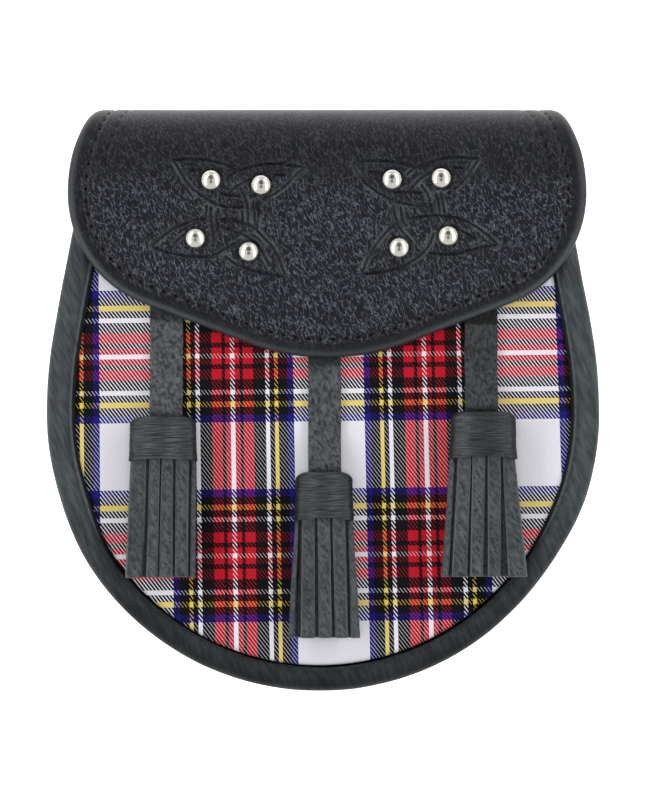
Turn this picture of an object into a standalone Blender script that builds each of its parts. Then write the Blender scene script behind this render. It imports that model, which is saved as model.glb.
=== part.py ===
"""A day sporran: a leather pouch with a tartan front, a folded flap and three leather tassels.

The pouch lies on its back. +Z points out of its front and +Y to its top. The
origin is on the surface below it, at the middle of its outline. Lengths are in
metres.
"""

import math
from typing import NamedTuple

import bmesh
import bpy
from mathutils import Vector

MM = 0.001
GAP = 0.3 * MM

# The pouch, seen from its front
HEIGHT = 199.0 * MM
HALF_WIDTH = 95.3 * MM
SHOULDER_RADIUS = 160.0 * MM
SIDE_LEAN = math.radians(8.5)
MOUTH_BELOW_TOP = 19.5 * MM

# The pouch, seen from its side
DEPTH = 36.0 * MM
PIPING_RADIUS = 4.4 * MM
FOOT_CUT = 0.4 * MM
PANEL_WALL = 2.0 * MM
PANEL_PROUD = 0.4 * MM
BACK_RECESS = 6.5 * MM
GUSSET_WALL = 2.0 * MM
GUSSET_HOLLOW = 1.5 * MM

# The flap, cut flat and then folded over the top
FLAP_WALL = 2.5 * MM
FLAP_SHIFT = 1.4 * MM
FLAP_DROP = 67.5 * MM
FLAP_HALF_WIDTH = 89.1 * MM
FLAP_TIP_RADIUS = 78.0 * MM
FLAP_RAKE = math.radians(21.0)
FLAP_CORNER_RADIUS = 42.2 * MM
FLAP_SHOULDER_RADIUS = 57.0 * MM
FLAP_TAPER = math.radians(18.0)
FLAP_LEVEL = 35.0 * MM
FLAP_BEND = 8.0 * MM
FLAP_DIP = math.radians(3.2)
TAIL_LENGTH = 28.0 * MM

# The domed studs and the hidden fastening
STUD_RADIUS = 3.35 * MM
STUD_HEIGHT = 2.1 * MM
PRESS_RADIUS = 6.0 * MM
PRESS_CLEAR = 3.5 * MM

# The two loops on the back, which a waist strap goes through
LOOP_WALL = 1.7 * MM
LOOP_LIFT = 0.3 * MM
LOOP_WIDTH = 20.0 * MM
LOOP_SPAN = 25.0 * MM
LOOP_FOOT = 8.0 * MM
LOOP_RAMP = 4.2 * MM
LOOP_FROM_MIDDLE = 40.0 * MM
LOOP_BELOW_TAIL = 4.0 * MM

# The tassels and their straps
STRAP_WIDTH = 11.3 * MM
STRAP_WALL = 1.8 * MM
STRAP_TUCK = 14.0 * MM
STRAP_RISE_LENGTH = 14.0 * MM
BAND_WALL = 1.5 * MM
BAND_LENGTH = 15.9 * MM
BAND_CORNER = 4.6 * MM
BAND_CROWN = 3.0 * MM
SKIRT_LENGTH = 40.0 * MM
STRIP_WALL = 2.1 * MM
STRIP_GAP = 0.6 * MM
LAYER_GAP = 0.35 * MM
CORE_BELOW_BAND = 2.4 * MM

# How finely curves are cut into facets
BOWL_STEPS = 16
SHOULDER_STEPS = 3
PIPING_RESOLUTION = 4
GUSSET_ROWS = 5
ARC_STEPS = 8
FOLD_STEPS = 12
BEND_STEPS = 3
CORNER_STEPS = 3
STUD_STEPS = 16
DOME_STEPS = 5
PRESS_SIDES = 24
RISE_STEPS = 6
WELD = 0.005 * MM
SHARP_ANGLE = math.radians(40.0)

# Places worked out from the sizes above
TOP_Y = HEIGHT / 2
BOWL_Y = HALF_WIDTH - HEIGHT / 2
MOUTH_Y = TOP_Y - MOUTH_BELOW_TOP
FRONT_PIPING_Z = DEPTH - PIPING_RADIUS
BACK_PIPING_Z = PIPING_RADIUS - FOOT_CUT
PANEL_TOP = FRONT_PIPING_Z + PANEL_PROUD
FLAP_FRONT_Z = DEPTH + GAP + FLAP_WALL / 2
FLAP_TAIL_Z = BACK_RECESS - GAP - FLAP_WALL / 2
FOLD_RADIUS = (FLAP_FRONT_Z - FLAP_TAIL_Z) / 2
FOLD_Z = (FLAP_FRONT_Z + FLAP_TAIL_Z) / 2
FOLD_Y = TOP_Y - FOLD_RADIUS - FLAP_WALL / 2
FOLD_LENGTH = math.pi * FOLD_RADIUS
TAIL_END_Y = FOLD_Y - TAIL_LENGTH
LAYER_PITCH = STRIP_WALL + LAYER_GAP
CORE_HALF_DEPTH = LAYER_PITCH + STRIP_WALL / 2
BAND_HALF_DEPTH = CORE_HALF_DEPTH + GAP + BAND_WALL
BAND_Z = PANEL_TOP + GAP + BAND_HALF_DEPTH
SKIRT_END_Z = DEPTH + 2 * GAP + STRIP_WALL / 2


class Tassel(NamedTuple):
    """One tassel: places across are shares of HALF_WIDTH, and places up of HEIGHT."""

    name: str
    strap_x: float
    head_x: float
    head_top: float
    head_half: float
    skirt_x: float
    skirt_half: float


class Layer(NamedTuple):
    """One layer of a tassel's strips: its width is a share of the skirt's."""

    name: str
    strips: int
    width: float
    level: int


class Stud(NamedTuple):
    """One stud: across is a share of FLAP_HALF_WIDTH, and down of FLAP_DROP."""

    name: str
    across: float
    down: float


TASSELS = (
    Tassel("left", -0.565, -0.576, -0.030, 0.122, -0.588, 0.129),
    Tassel("centre", 0.006, 0.004, -0.125, 0.106, 0.006, 0.133),
    Tassel("right", 0.571, 0.576, -0.021, 0.121, 0.588, 0.158),
)
LAYERS = (
    Layer("back", 3, 0.50, -1),
    Layer("middle", 5, 0.90, 0),
    Layer("front", 5, 1.00, 1),
)
STUDS = (
    Stud("left_upper_outer", -0.447, 0.094),
    Stud("left_upper_inner", -0.254, 0.119),
    Stud("left_lower_outer", -0.507, 0.390),
    Stud("left_lower_inner", -0.302, 0.457),
    Stud("right_upper_inner", 0.250, 0.091),
    Stud("right_upper_outer", 0.439, 0.084),
    Stud("right_lower_inner", 0.277, 0.437),
    Stud("right_lower_outer", 0.466, 0.377),
)

BLACK_LEATHER = ((0.013, 0.014, 0.018), 0.45, 0.0)
PIPING_LEATHER = ((0.030, 0.036, 0.038), 0.35, 0.0)
STRIP_LEATHER = ((0.042, 0.050, 0.052), 0.55, 0.0)
LINING_LEATHER = ((0.024, 0.026, 0.028), 0.65, 0.0)
TARTAN_CLOTH = ((0.60, 0.10, 0.12), 0.90, 0.0)
NICKEL = ((0.72, 0.70, 0.66), 0.15, 1.0)


def clear_scene():
    """Remove every object that the file starts with."""
    for obj in list(bpy.data.objects):
        bpy.data.objects.remove(obj, do_unlink=True)


def new_collection(name):
    """Make a collection in the scene."""
    collection = bpy.data.collections.new(name)
    bpy.context.scene.collection.children.link(collection)
    return collection


def new_object(name, data, finish, collection):
    """Make an object in the collection, with a material of its own."""
    material = bpy.data.materials.new(name)
    material.use_nodes = True
    shader = material.node_tree.nodes["Principled BSDF"]
    colour, roughness, metallic = finish
    shader.inputs["Base Color"].default_value = (*colour, 1.0)
    shader.inputs["Roughness"].default_value = roughness
    shader.inputs["Metallic"].default_value = metallic
    obj = bpy.data.objects.new(name, data)
    if not data.materials:
        data.materials.append(material)
    if isinstance(data, bpy.types.Mesh):
        data.shade_smooth()
        data.set_sharp_from_angle(angle=SHARP_ANGLE)
    collection.objects.link(obj)
    return obj


def steps(first, last, count):
    """Values from first to last in count equal steps, with both ends."""
    return [first + (last - first) * i / count for i in range(count + 1)]


def bowl_outline(inset):
    """The pouch's outline moved inwards, from the mouth's left end round to its right end."""
    bowl = HALF_WIDTH - inset
    shoulder = SHOULDER_RADIUS - inset
    shoulder_x = HALF_WIDTH - SHOULDER_RADIUS
    right = [
        Vector((bowl * math.sin(a), BOWL_Y - bowl * math.cos(a)))
        for a in steps(0, math.pi / 2, BOWL_STEPS)
    ]
    right += [
        Vector((shoulder_x + shoulder * math.cos(a), BOWL_Y + shoulder * math.sin(a)))
        for a in steps(0, SIDE_LEAN, SHOULDER_STEPS)[1:]
    ]
    rise = MOUTH_Y - right[-1].y
    right.append(right[-1] + Vector((-math.tan(SIDE_LEAN), 1.0)) * rise)
    left = [Vector((-point.x, point.y)) for point in reversed(right[1:])]
    return left + right


def poly_curve(name, points, closed):
    """A curve of straight pieces through the points."""
    curve = bpy.data.curves.new(name, "CURVE")
    spline = curve.splines.new("POLY")
    spline.points.add(len(points) - 1)
    for target, point in zip(spline.points, points):
        target.co = (*point, 1.0)
    spline.use_cyclic_u = closed
    return curve


def tube(name, points, radius, finish, collection):
    """A round tube with closed ends along the points."""
    curve = poly_curve(name, points, closed=False)
    curve.dimensions = "3D"
    curve.bevel_depth = radius
    curve.bevel_resolution = PIPING_RESOLUTION
    curve.use_fill_caps = True
    return new_object(name, curve, finish, collection)


def plate(name, outline, low_z, wall, finish, collection):
    """A flat plate cut to the outline, standing on low_z."""
    points = [(point.x, point.y, 0.0) for point in outline]
    curve = poly_curve(name, points, closed=True)
    curve.dimensions = "2D"
    curve.fill_mode = "BOTH"
    curve.extrude = wall / 2
    obj = new_object(name, curve, finish, collection)
    obj.location.z = low_z + wall / 2
    return obj


def as_mesh_object(curve_object, finish, collection):
    """Replace a curve object by a mesh object of the same shape, with its caps welded."""
    bpy.context.view_layer.update()
    graph = bpy.context.evaluated_depsgraph_get()
    mesh = bpy.data.meshes.new_from_object(curve_object.evaluated_get(graph))
    mesh.materials.clear()
    bm = bmesh.new()
    bm.from_mesh(mesh)
    bmesh.ops.remove_doubles(bm, verts=bm.verts, dist=WELD)
    bm.to_mesh(mesh)
    bm.free()
    name = curve_object.name
    place = curve_object.matrix_world.copy()
    bpy.data.objects.remove(curve_object, do_unlink=True)
    obj = new_object(name, mesh, finish, collection)
    obj.matrix_world = place
    return obj


def loft(name, rows, closed=False, capped=False):
    """A mesh skinned over rows of points, each row open or a closed ring."""
    bm = bmesh.new()
    lines = [[bm.verts.new(point) for point in row] for row in rows]
    for first, second in zip(lines, lines[1:]):
        count = len(first)
        for i in range(count if closed else count - 1):
            j = (i + 1) % count
            bm.faces.new((first[i], first[j], second[j], second[i]))
    if capped:
        bm.faces.new(lines[0])
        bm.faces.new(lines[-1])
    bmesh.ops.recalc_face_normals(bm, faces=bm.faces)
    mesh = bpy.data.meshes.new(name)
    bm.to_mesh(mesh)
    bm.free()
    return mesh


def solidify(obj, wall, offset):
    """Give an open surface a wall: offset is -1 for inwards, 0 for both sides."""
    modifier = obj.modifiers.new("Wall", "SOLIDIFY")
    modifier.thickness = wall
    modifier.offset = offset
    modifier.use_even_offset = True


def boolean(obj, other, operation):
    """Join another object to this one, or cut it away."""
    modifier = obj.modifiers.new(operation.title(), "BOOLEAN")
    modifier.operation = operation
    modifier.object = other
    modifier.solver = "EXACT"


def hide_tool(obj):
    """Mark an object as a cutter or a helper, which isn't part of the model."""
    obj.hide_render = True
    obj.display_type = "WIRE"


def bent_strip(name, path, middle_x, width, wall, finish, collection):
    """A strap of leather whose side view follows the path of (y, z) points."""
    edges = (middle_x - width / 2, middle_x + width / 2)
    rows = [[Vector((x, y, z)) for x in edges] for y, z in path]
    obj = new_object(name, loft(name, rows), finish, collection)
    solidify(obj, wall, offset=0)
    return obj


def make_panels(parts):
    """The tartan front and the leather back, each inside its piping."""
    front = bowl_outline(2 * PIPING_RADIUS + GAP)
    plate("front_panel", front, PANEL_TOP - PANEL_WALL, PANEL_WALL, TARTAN_CLOTH, parts)
    reach = PIPING_RADIUS + GAP
    rise = BACK_RECESS - BACK_PIPING_Z
    back = bowl_outline(PIPING_RADIUS + math.sqrt(reach**2 - rise**2))
    plate("back_panel", back, BACK_RECESS, PANEL_WALL, LINING_LEATHER, parts)


def make_pipings(parts, cutters):
    """The rolled leather borders: the back one is worn flat where the pouch lies."""
    line = bowl_outline(PIPING_RADIUS)
    front = [(point.x, point.y, FRONT_PIPING_Z) for point in line]
    tube("front_piping", front, PIPING_RADIUS, PIPING_LEATHER, parts)
    back = [(point.x, point.y, BACK_PIPING_Z) for point in line]
    rolled = tube("back_piping", back, PIPING_RADIUS, PIPING_LEATHER, parts)
    flattened = as_mesh_object(rolled, PIPING_LEATHER, parts)
    bpy.ops.mesh.primitive_cube_add(size=1.0)
    floor = bpy.context.object
    floor.name = "floor_cutter"
    bpy.context.collection.objects.unlink(floor)
    cutters.objects.link(floor)
    floor.scale = (3 * HALF_WIDTH, 2 * HEIGHT, PIPING_RADIUS)
    floor.location.z = -PIPING_RADIUS / 2
    hide_tool(floor)
    boolean(flattened, floor, "DIFFERENCE")


def make_gusset(parts):
    """The side wall between the two pipings, drawn in a little along its middle."""
    low = BACK_PIPING_Z + PIPING_RADIUS + GAP
    high = FRONT_PIPING_Z - PIPING_RADIUS - GAP
    rows = []
    for share in steps(-1, 1, GUSSET_ROWS - 1):
        inset = PIPING_RADIUS + GUSSET_HOLLOW * (1 - share**2)
        z = (low + high) / 2 + share * (high - low) / 2
        rows.append([Vector((p.x, p.y, z)) for p in bowl_outline(inset)])
    obj = new_object("gusset", loft("gusset", rows), BLACK_LEATHER, parts)
    solidify(obj, GUSSET_WALL, offset=0)


def flap_edge(across):
    """Distance down the flap, from its fold, to its lower edge at this distance from its middle."""
    reach = abs(across)
    tip_reach = FLAP_TIP_RADIUS * math.sin(FLAP_RAKE)
    if reach < tip_reach:
        return FLAP_DROP - FLAP_TIP_RADIUS + math.sqrt(FLAP_TIP_RADIUS**2 - reach**2)
    tip_rise = FLAP_TIP_RADIUS * (1 - math.cos(FLAP_RAKE))
    return FLAP_DROP - tip_rise - math.tan(FLAP_RAKE) * (reach - tip_reach)


def flap_half_outline():
    """The right half of the flap as it is cut, from its tip to its tail, as (across, down)."""
    corner_x = FLAP_HALF_WIDTH - FLAP_CORNER_RADIUS
    start_x = corner_x + FLAP_CORNER_RADIUS * math.sin(FLAP_RAKE)
    widest = flap_edge(start_x) - FLAP_CORNER_RADIUS * math.cos(FLAP_RAKE)
    points = [
        (FLAP_TIP_RADIUS * math.sin(a), flap_edge(FLAP_TIP_RADIUS * math.sin(a)))
        for a in steps(0, FLAP_RAKE, ARC_STEPS)
    ]
    points += [
        (
            corner_x + FLAP_CORNER_RADIUS * math.sin(a),
            widest + FLAP_CORNER_RADIUS * math.cos(a),
        )
        for a in steps(FLAP_RAKE, math.pi / 2, ARC_STEPS)
    ]
    shoulder_x = FLAP_HALF_WIDTH - FLAP_SHOULDER_RADIUS
    points += [
        (
            shoulder_x + FLAP_SHOULDER_RADIUS * math.cos(a),
            widest - FLAP_SHOULDER_RADIUS * math.sin(a),
        )
        for a in steps(0, FLAP_TAPER, ARC_STEPS // 2)[1:]
    ]
    last_x, last_down = points[-1]
    tail_down = -FOLD_LENGTH - TAIL_LENGTH
    tail_x = last_x - math.tan(FLAP_TAPER) * (last_down - tail_down)
    return points + [(tail_x, tail_down)]


def flap_place(down):
    """(y, z, tilt) of the middle of the flap's leather, this far down from its fold."""
    if down < -FOLD_LENGTH:
        return FOLD_Y + FOLD_LENGTH + down, FLAP_TAIL_Z, math.pi
    if down < 0:
        angle = -down / FOLD_RADIUS
        y = FOLD_Y + FOLD_RADIUS * math.sin(angle)
        return y, FOLD_Z + FOLD_RADIUS * math.cos(angle), -angle
    if down < FLAP_LEVEL:
        return FOLD_Y - down, FLAP_FRONT_Z, 0.0
    bend_radius = FLAP_BEND / FLAP_DIP
    angle = min(down - FLAP_LEVEL, FLAP_BEND) / bend_radius
    beyond = max(down - FLAP_LEVEL - FLAP_BEND, 0.0)
    y = FOLD_Y - FLAP_LEVEL - bend_radius * math.sin(angle) - beyond * math.cos(angle)
    z = FLAP_FRONT_Z - bend_radius * (1 - math.cos(angle)) - beyond * math.sin(angle)
    return y, z, angle


def make_flap(parts):
    """The flap: one piece of leather cut flat, scored where it bends, and folded over the top."""
    right = flap_half_outline()
    left = [(-x, down) for x, down in reversed(right[1:])]
    bm = bmesh.new()
    bm.faces.new([bm.verts.new((x, down, 0.0)) for x, down in right + left])
    folds = steps(-FOLD_LENGTH, 0.0, FOLD_STEPS)
    bends = steps(FLAP_LEVEL, FLAP_LEVEL + FLAP_BEND, BEND_STEPS)
    for down in folds + bends:
        bmesh.ops.bisect_plane(
            bm,
            geom=bm.verts[:] + bm.edges[:] + bm.faces[:],
            dist=WELD,
            plane_co=(0.0, down, 0.0),
            plane_no=(0.0, 1.0, 0.0),
        )
    for vert in bm.verts:
        y, z, _ = flap_place(vert.co.y)
        vert.co = (vert.co.x + FLAP_SHIFT, y, z)
    bmesh.ops.recalc_face_normals(bm, faces=bm.faces)
    mesh = bpy.data.meshes.new("flap")
    bm.to_mesh(mesh)
    bm.free()
    solidify(new_object("flap", mesh, BLACK_LEATHER, parts), FLAP_WALL, offset=0)


def make_studs(parts):
    """The domed studs, each seated square on the flap."""
    profile = [
        (STUD_RADIUS * math.sin(a), 0.0, STUD_HEIGHT * math.cos(a))
        for a in steps(0, math.pi / 2, DOME_STEPS)
    ]
    profile.append((0.0, 0.0, 0.0))
    dome = bpy.data.meshes.new("stud")
    dome.from_pydata(profile, [(i, i + 1) for i in range(len(profile) - 1)], [])
    for stud in STUDS:
        obj = new_object(f"stud_{stud.name}", dome, NICKEL, parts)
        turned = obj.modifiers.new("Turned", "SCREW")
        turned.steps = STUD_STEPS
        turned.render_steps = STUD_STEPS
        turned.use_merge_vertices = True
        turned.merge_threshold = WELD
        y, z, tilt = flap_place(stud.down * FLAP_DROP)
        rise = FLAP_WALL / 2 + GAP
        obj.location = (
            stud.across * FLAP_HALF_WIDTH + FLAP_SHIFT,
            y - rise * math.sin(tilt),
            z + rise * math.cos(tilt),
        )
        obj.rotation_euler.x = tilt


def strap_end_y(across):
    """Where a tassel's strap ends, tucked under the flap's edge."""
    return flap_place(flap_edge(across - FLAP_SHIFT))[0] + STRAP_TUCK


def make_press_stud(parts):
    """The hidden fastening between the flap and the pouch, as one plain piece."""
    middle_y = strap_end_y(FLAP_SHIFT) + PRESS_CLEAR + PRESS_RADIUS
    down = FOLD_Y - middle_y + PRESS_RADIUS
    low = PANEL_TOP + GAP
    high = flap_place(down)[1] - FLAP_WALL / 2 - GAP
    bm = bmesh.new()
    bmesh.ops.create_cone(
        bm,
        cap_ends=True,
        segments=PRESS_SIDES,
        radius1=PRESS_RADIUS,
        radius2=PRESS_RADIUS,
        depth=high - low,
    )
    mesh = bpy.data.meshes.new("press_stud")
    bm.to_mesh(mesh)
    bm.free()
    obj = new_object("press_stud", mesh, NICKEL, parts)
    obj.location = (FLAP_SHIFT, middle_y, (low + high) / 2)


def make_strap_loops(parts):
    """The two leather loops on the back, sewn down at both ends."""
    foot_z = BACK_RECESS - GAP - LOOP_WALL / 2
    bridge_z = LOOP_LIFT + LOOP_WALL / 2
    bridge_end = LOOP_SPAN / 2
    ramp_end = bridge_end + LOOP_RAMP
    foot_end = ramp_end + LOOP_FOOT
    middle_y = TAIL_END_Y - LOOP_BELOW_TAIL - foot_end
    half = [(bridge_end, bridge_z), (ramp_end, foot_z), (foot_end, foot_z)]
    path = [(middle_y - y, z) for y, z in reversed(half)]
    path += [(middle_y + y, z) for y, z in half]
    for side, sign in (("left", -1), ("right", 1)):
        name = f"strap_loop_{side}"
        middle_x = sign * LOOP_FROM_MIDDLE
        bent_strip(name, path, middle_x, LOOP_WIDTH, LOOP_WALL, LINING_LEATHER, parts)


def rounded_ring(middle_x, y, middle_z, half_width, half_depth, radius):
    """A ring of points round a rectangle with round corners, lying across Y."""
    radius = min(radius, half_width, half_depth)
    ring = []
    for quarter in range(4):
        start = quarter * math.pi / 2
        sign_x = 1 if quarter in (0, 3) else -1
        sign_z = 1 if quarter in (0, 1) else -1
        corner_x = middle_x + sign_x * (half_width - radius)
        corner_z = middle_z + sign_z * (half_depth - radius)
        for angle in steps(start, start + math.pi / 2, CORNER_STEPS):
            x = corner_x + radius * math.cos(angle)
            z = corner_z + radius * math.sin(angle)
            ring.append(Vector((x, y, z)))
    return ring


def make_tassel_strap(tassel, parts):
    """A strap that lies on the panel, rises to the tassel's head and ends on its core."""
    low_z = PANEL_TOP + GAP + STRAP_WALL / 2
    head_top = tassel.head_top * HEIGHT
    middle_x = tassel.strap_x * HALF_WIDTH
    path = [(strap_end_y(middle_x), low_z)]
    for share in steps(0, 1, RISE_STEPS):
        y = head_top + BAND_WALL + (1 - share) * STRAP_RISE_LENGTH
        z = low_z + (BAND_Z - low_z) * (1 - math.cos(share * math.pi)) / 2
        path.append((y, z))
    path.append((head_top - BAND_CROWN + GAP, BAND_Z))
    name = f"tassel_strap_{tassel.name}"
    bent_strip(name, path, middle_x, STRAP_WIDTH, STRAP_WALL, PIPING_LEATHER, parts)


def make_tassel_band(tassel, parts):
    """The leather band wrapped round a tassel's head, drawn in at its top round the strap."""
    head_x = tassel.head_x * HALF_WIDTH
    head_top = tassel.head_top * HEIGHT
    half_width = tassel.head_half * HALF_WIDTH
    neck_half_depth = STRAP_WALL / 2 + GAP + BAND_WALL
    drawn_in = BAND_HALF_DEPTH - neck_half_depth
    rows = []
    for angle in steps(0, math.pi / 2, CORNER_STEPS):
        y = head_top - BAND_CROWN * (1 - math.cos(angle))
        inwards = 1 - math.sin(angle)
        ring_width = half_width - BAND_CROWN * inwards
        ring_depth = BAND_HALF_DEPTH - drawn_in * inwards
        rows.append(rounded_ring(head_x, y, BAND_Z, ring_width, ring_depth, BAND_CORNER))
    bottom = head_top - BAND_LENGTH
    rows.append(rounded_ring(head_x, bottom, BAND_Z, half_width, BAND_HALF_DEPTH, BAND_CORNER))
    name = f"tassel_band_{tassel.name}"
    obj = new_object(name, loft(name, rows, closed=True), PIPING_LEATHER, parts)
    solidify(obj, BAND_WALL, offset=-1)


def add_strip(bm, root, end):
    """One strip of a skirt, as a bar from root to end, each (x, y, z, half width)."""
    for vert in bmesh.ops.create_cube(bm, size=2.0)["verts"]:
        x, y, z, half = root if vert.co.y > 0 else end
        vert.co = (x + vert.co.x * half, y, z + vert.co.z * STRIP_WALL / 2)


def make_tassel(tassel, parts, cutters):
    """A tassel's core and its three layers of hanging strips, fused."""
    name = f"tassel_{tassel.name}"
    head_x = tassel.head_x * HALF_WIDTH
    core_top = tassel.head_top * HEIGHT - BAND_CROWN
    band_bottom = tassel.head_top * HEIGHT - BAND_LENGTH
    inwards = BAND_WALL + GAP
    core_half = tassel.head_half * HALF_WIDTH - inwards
    rows = [
        rounded_ring(head_x, y, BAND_Z, core_half, CORE_HALF_DEPTH, BAND_CORNER - inwards)
        for y in (core_top, band_bottom - CORE_BELOW_BAND)
    ]
    core = new_object(name, loft(name, rows, closed=True, capped=True), STRIP_LEATHER, parts)
    bm = bmesh.new()
    root_y = band_bottom - GAP
    end_y = root_y - SKIRT_LENGTH
    skirt_x = tassel.skirt_x * HALF_WIDTH
    for layer in LAYERS:
        root_width = 2 * layer.width * tassel.head_half * HALF_WIDTH
        end_width = 2 * layer.width * tassel.skirt_half * HALF_WIDTH
        root_half = (root_width - (layer.strips - 1) * STRIP_GAP) / layer.strips / 2
        end_half = (end_width - (layer.strips - 1) * STRIP_GAP) / layer.strips / 2
        rise = layer.level * LAYER_PITCH
        for i in range(layer.strips):
            place = i - (layer.strips - 1) / 2
            root_x = head_x + place * (2 * root_half + STRIP_GAP)
            end_x = skirt_x + place * (2 * end_half + STRIP_GAP)
            root = (root_x, root_y, BAND_Z + rise, root_half)
            end = (end_x, end_y, SKIRT_END_Z + rise, end_half)
            add_strip(bm, root, end)
    mesh = bpy.data.meshes.new(f"{name}_strips")
    bm.to_mesh(mesh)
    bm.free()
    strips = new_object(f"{name}_strips", mesh, STRIP_LEATHER, cutters)
    hide_tool(strips)
    boolean(core, strips, "UNION")


def main():
    """Build the sporran."""
    clear_scene()
    parts = new_collection("day_sporran")
    cutters = new_collection("cutters")
    make_panels(parts)
    make_pipings(parts, cutters)
    make_gusset(parts)
    make_flap(parts)
    make_studs(parts)
    make_press_stud(parts)
    make_strap_loops(parts)
    for tassel in TASSELS:
        make_tassel_strap(tassel, parts)
        make_tassel_band(tassel, parts)
        make_tassel(tassel, parts, cutters)


main()
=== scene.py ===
"""The looks of a day sporran: a leather pouch with a tartan front, a tooled flap and three tassels.

Each class below makes and dresses one sub-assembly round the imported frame. The
pouch lies on its back, +Z out of its front and +Y to its top, in metres.
"""

import logging
import math
from dataclasses import dataclass
from enum import Enum
from typing import Any, NamedTuple, Sequence

import bmesh
import bpy
import numpy as np
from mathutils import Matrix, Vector, noise


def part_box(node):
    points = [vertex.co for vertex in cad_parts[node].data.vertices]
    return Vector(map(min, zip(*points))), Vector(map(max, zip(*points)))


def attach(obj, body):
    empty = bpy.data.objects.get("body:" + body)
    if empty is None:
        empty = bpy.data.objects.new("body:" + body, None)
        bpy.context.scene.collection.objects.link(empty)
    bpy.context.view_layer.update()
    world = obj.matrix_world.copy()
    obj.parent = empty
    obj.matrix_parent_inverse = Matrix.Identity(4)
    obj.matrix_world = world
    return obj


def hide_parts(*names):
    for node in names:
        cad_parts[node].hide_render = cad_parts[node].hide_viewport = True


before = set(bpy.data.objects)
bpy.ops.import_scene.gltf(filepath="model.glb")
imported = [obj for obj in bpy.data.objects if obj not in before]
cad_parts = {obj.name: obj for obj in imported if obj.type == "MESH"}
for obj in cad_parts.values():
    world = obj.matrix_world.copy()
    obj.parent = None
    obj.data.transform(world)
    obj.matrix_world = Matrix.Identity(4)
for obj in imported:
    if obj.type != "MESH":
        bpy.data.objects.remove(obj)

log = logging.getLogger("sporran")

MM = 0.001
BODY = "root"
PHOTO_SCALE = 0.3448 * MM
PHOTO_CENTRE = (323.0, 399.8)
PHOTO_HEIGHT = 800
CAMERA_HEIGHT = 1.2
SCALE_Z = 31.6 * MM

Array = np.ndarray
BMesh = bmesh.types.BMesh
Material = bpy.types.Material
Pair = tuple[float, float]
Points = Sequence[Pair]
Triple = tuple[float, float, float]
Track = tuple[Array, Array, Array]
Tree = bpy.types.NodeTree
Socket = bpy.types.NodeSocket


class Grain(Enum):
    """How a leather's surface is marked."""

    PEBBLE = "rounded tops with dark creases between"
    VEIN = "light wisps that stand up in a net"
    STREAK = "fine soft wrinkles"


class Slot(Enum):
    """The record's material slots."""

    FLAP = "flap_leather"
    BORDER = "border_leather"
    STRAP = "strap_leather"
    STRIP = "strip_leather"
    BACK = "back_leather"
    TARTAN = "tartan"
    NICKEL = "nickel"


def scale_at(z: float) -> float:
    """The size of a pixel of the photograph at one height, in metres."""
    return PHOTO_SCALE * (1 - (z - SCALE_Z) / CAMERA_HEIGHT)


def from_photo(points: Points, z: float = SCALE_Z) -> Array:
    """Turn places in the photograph into places on the pouch.

    Args:
        points: Pixels, as (across, down).
        z: The height of what they show.

    Returns:
        Metres, as rows of (x, y).
    """
    pixels = np.array(points, float)
    across = (pixels[:, 0] - PHOTO_CENTRE[0]) * scale_at(z)
    up = (PHOTO_CENTRE[1] - pixels[:, 1]) * scale_at(z)
    return np.column_stack([across, up])


def linear(colour: str) -> tuple[float, float, float, float]:
    """Turn an sRGB hex colour into the linear one that a shader takes.

    Args:
        colour: Six hex digits, such as "2b2d33".

    Returns:
        Red, green, blue and an alpha of 1.
    """
    channels = []
    for start in (0, 2, 4):
        value = int(colour[start : start + 2], 16) / 255
        low = value <= 0.04045
        channels.append(value / 12.92 if low else ((value + 0.055) / 1.055) ** 2.4)
    return (channels[0], channels[1], channels[2], 1.0)


def add_node(
    tree: Tree,
    kind: str,
    inputs: dict[Any, Any] | Sequence[Any] = (),
    output: str | int = 0,
    **settings: Any,
) -> Socket:
    """Add a node to a material.

    Args:
        tree: The material's node tree.
        kind: The node's type, without its ShaderNode prefix.
        inputs: A socket or a constant for each input, in order or by name or number.
        output: Which output is wanted, by name or number.
        **settings: The node's own settings.

    Returns:
        That output.
    """
    node = tree.nodes.new("ShaderNode" + kind)
    for key, value in settings.items():
        setattr(node, key, value)
    for key, value in inputs.items() if isinstance(inputs, dict) else enumerate(inputs):
        if isinstance(value, Socket):
            tree.links.new(value, node.inputs[key])
        else:
            node.inputs[key].default_value = value
    return node.outputs[output]


def new_material(
    name: str, values: dict[str, Any]
) -> tuple[Material, Tree, bpy.types.Node, Socket]:
    """Make a node material that reads the object's own coordinates.

    Args:
        name: The material's name.
        values: The shader's constants, by input name.

    Returns:
        The material, its node tree, its Principled shader and the socket of the coordinates.
    """
    material = bpy.data.materials.new(name)
    material.use_nodes = True
    tree = material.node_tree
    shader = tree.nodes["Principled BSDF"]
    for key, value in values.items():
        shader.inputs[key].default_value = value
    return material, tree, shader, add_node(tree, "TexCoord", output="Object")


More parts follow.
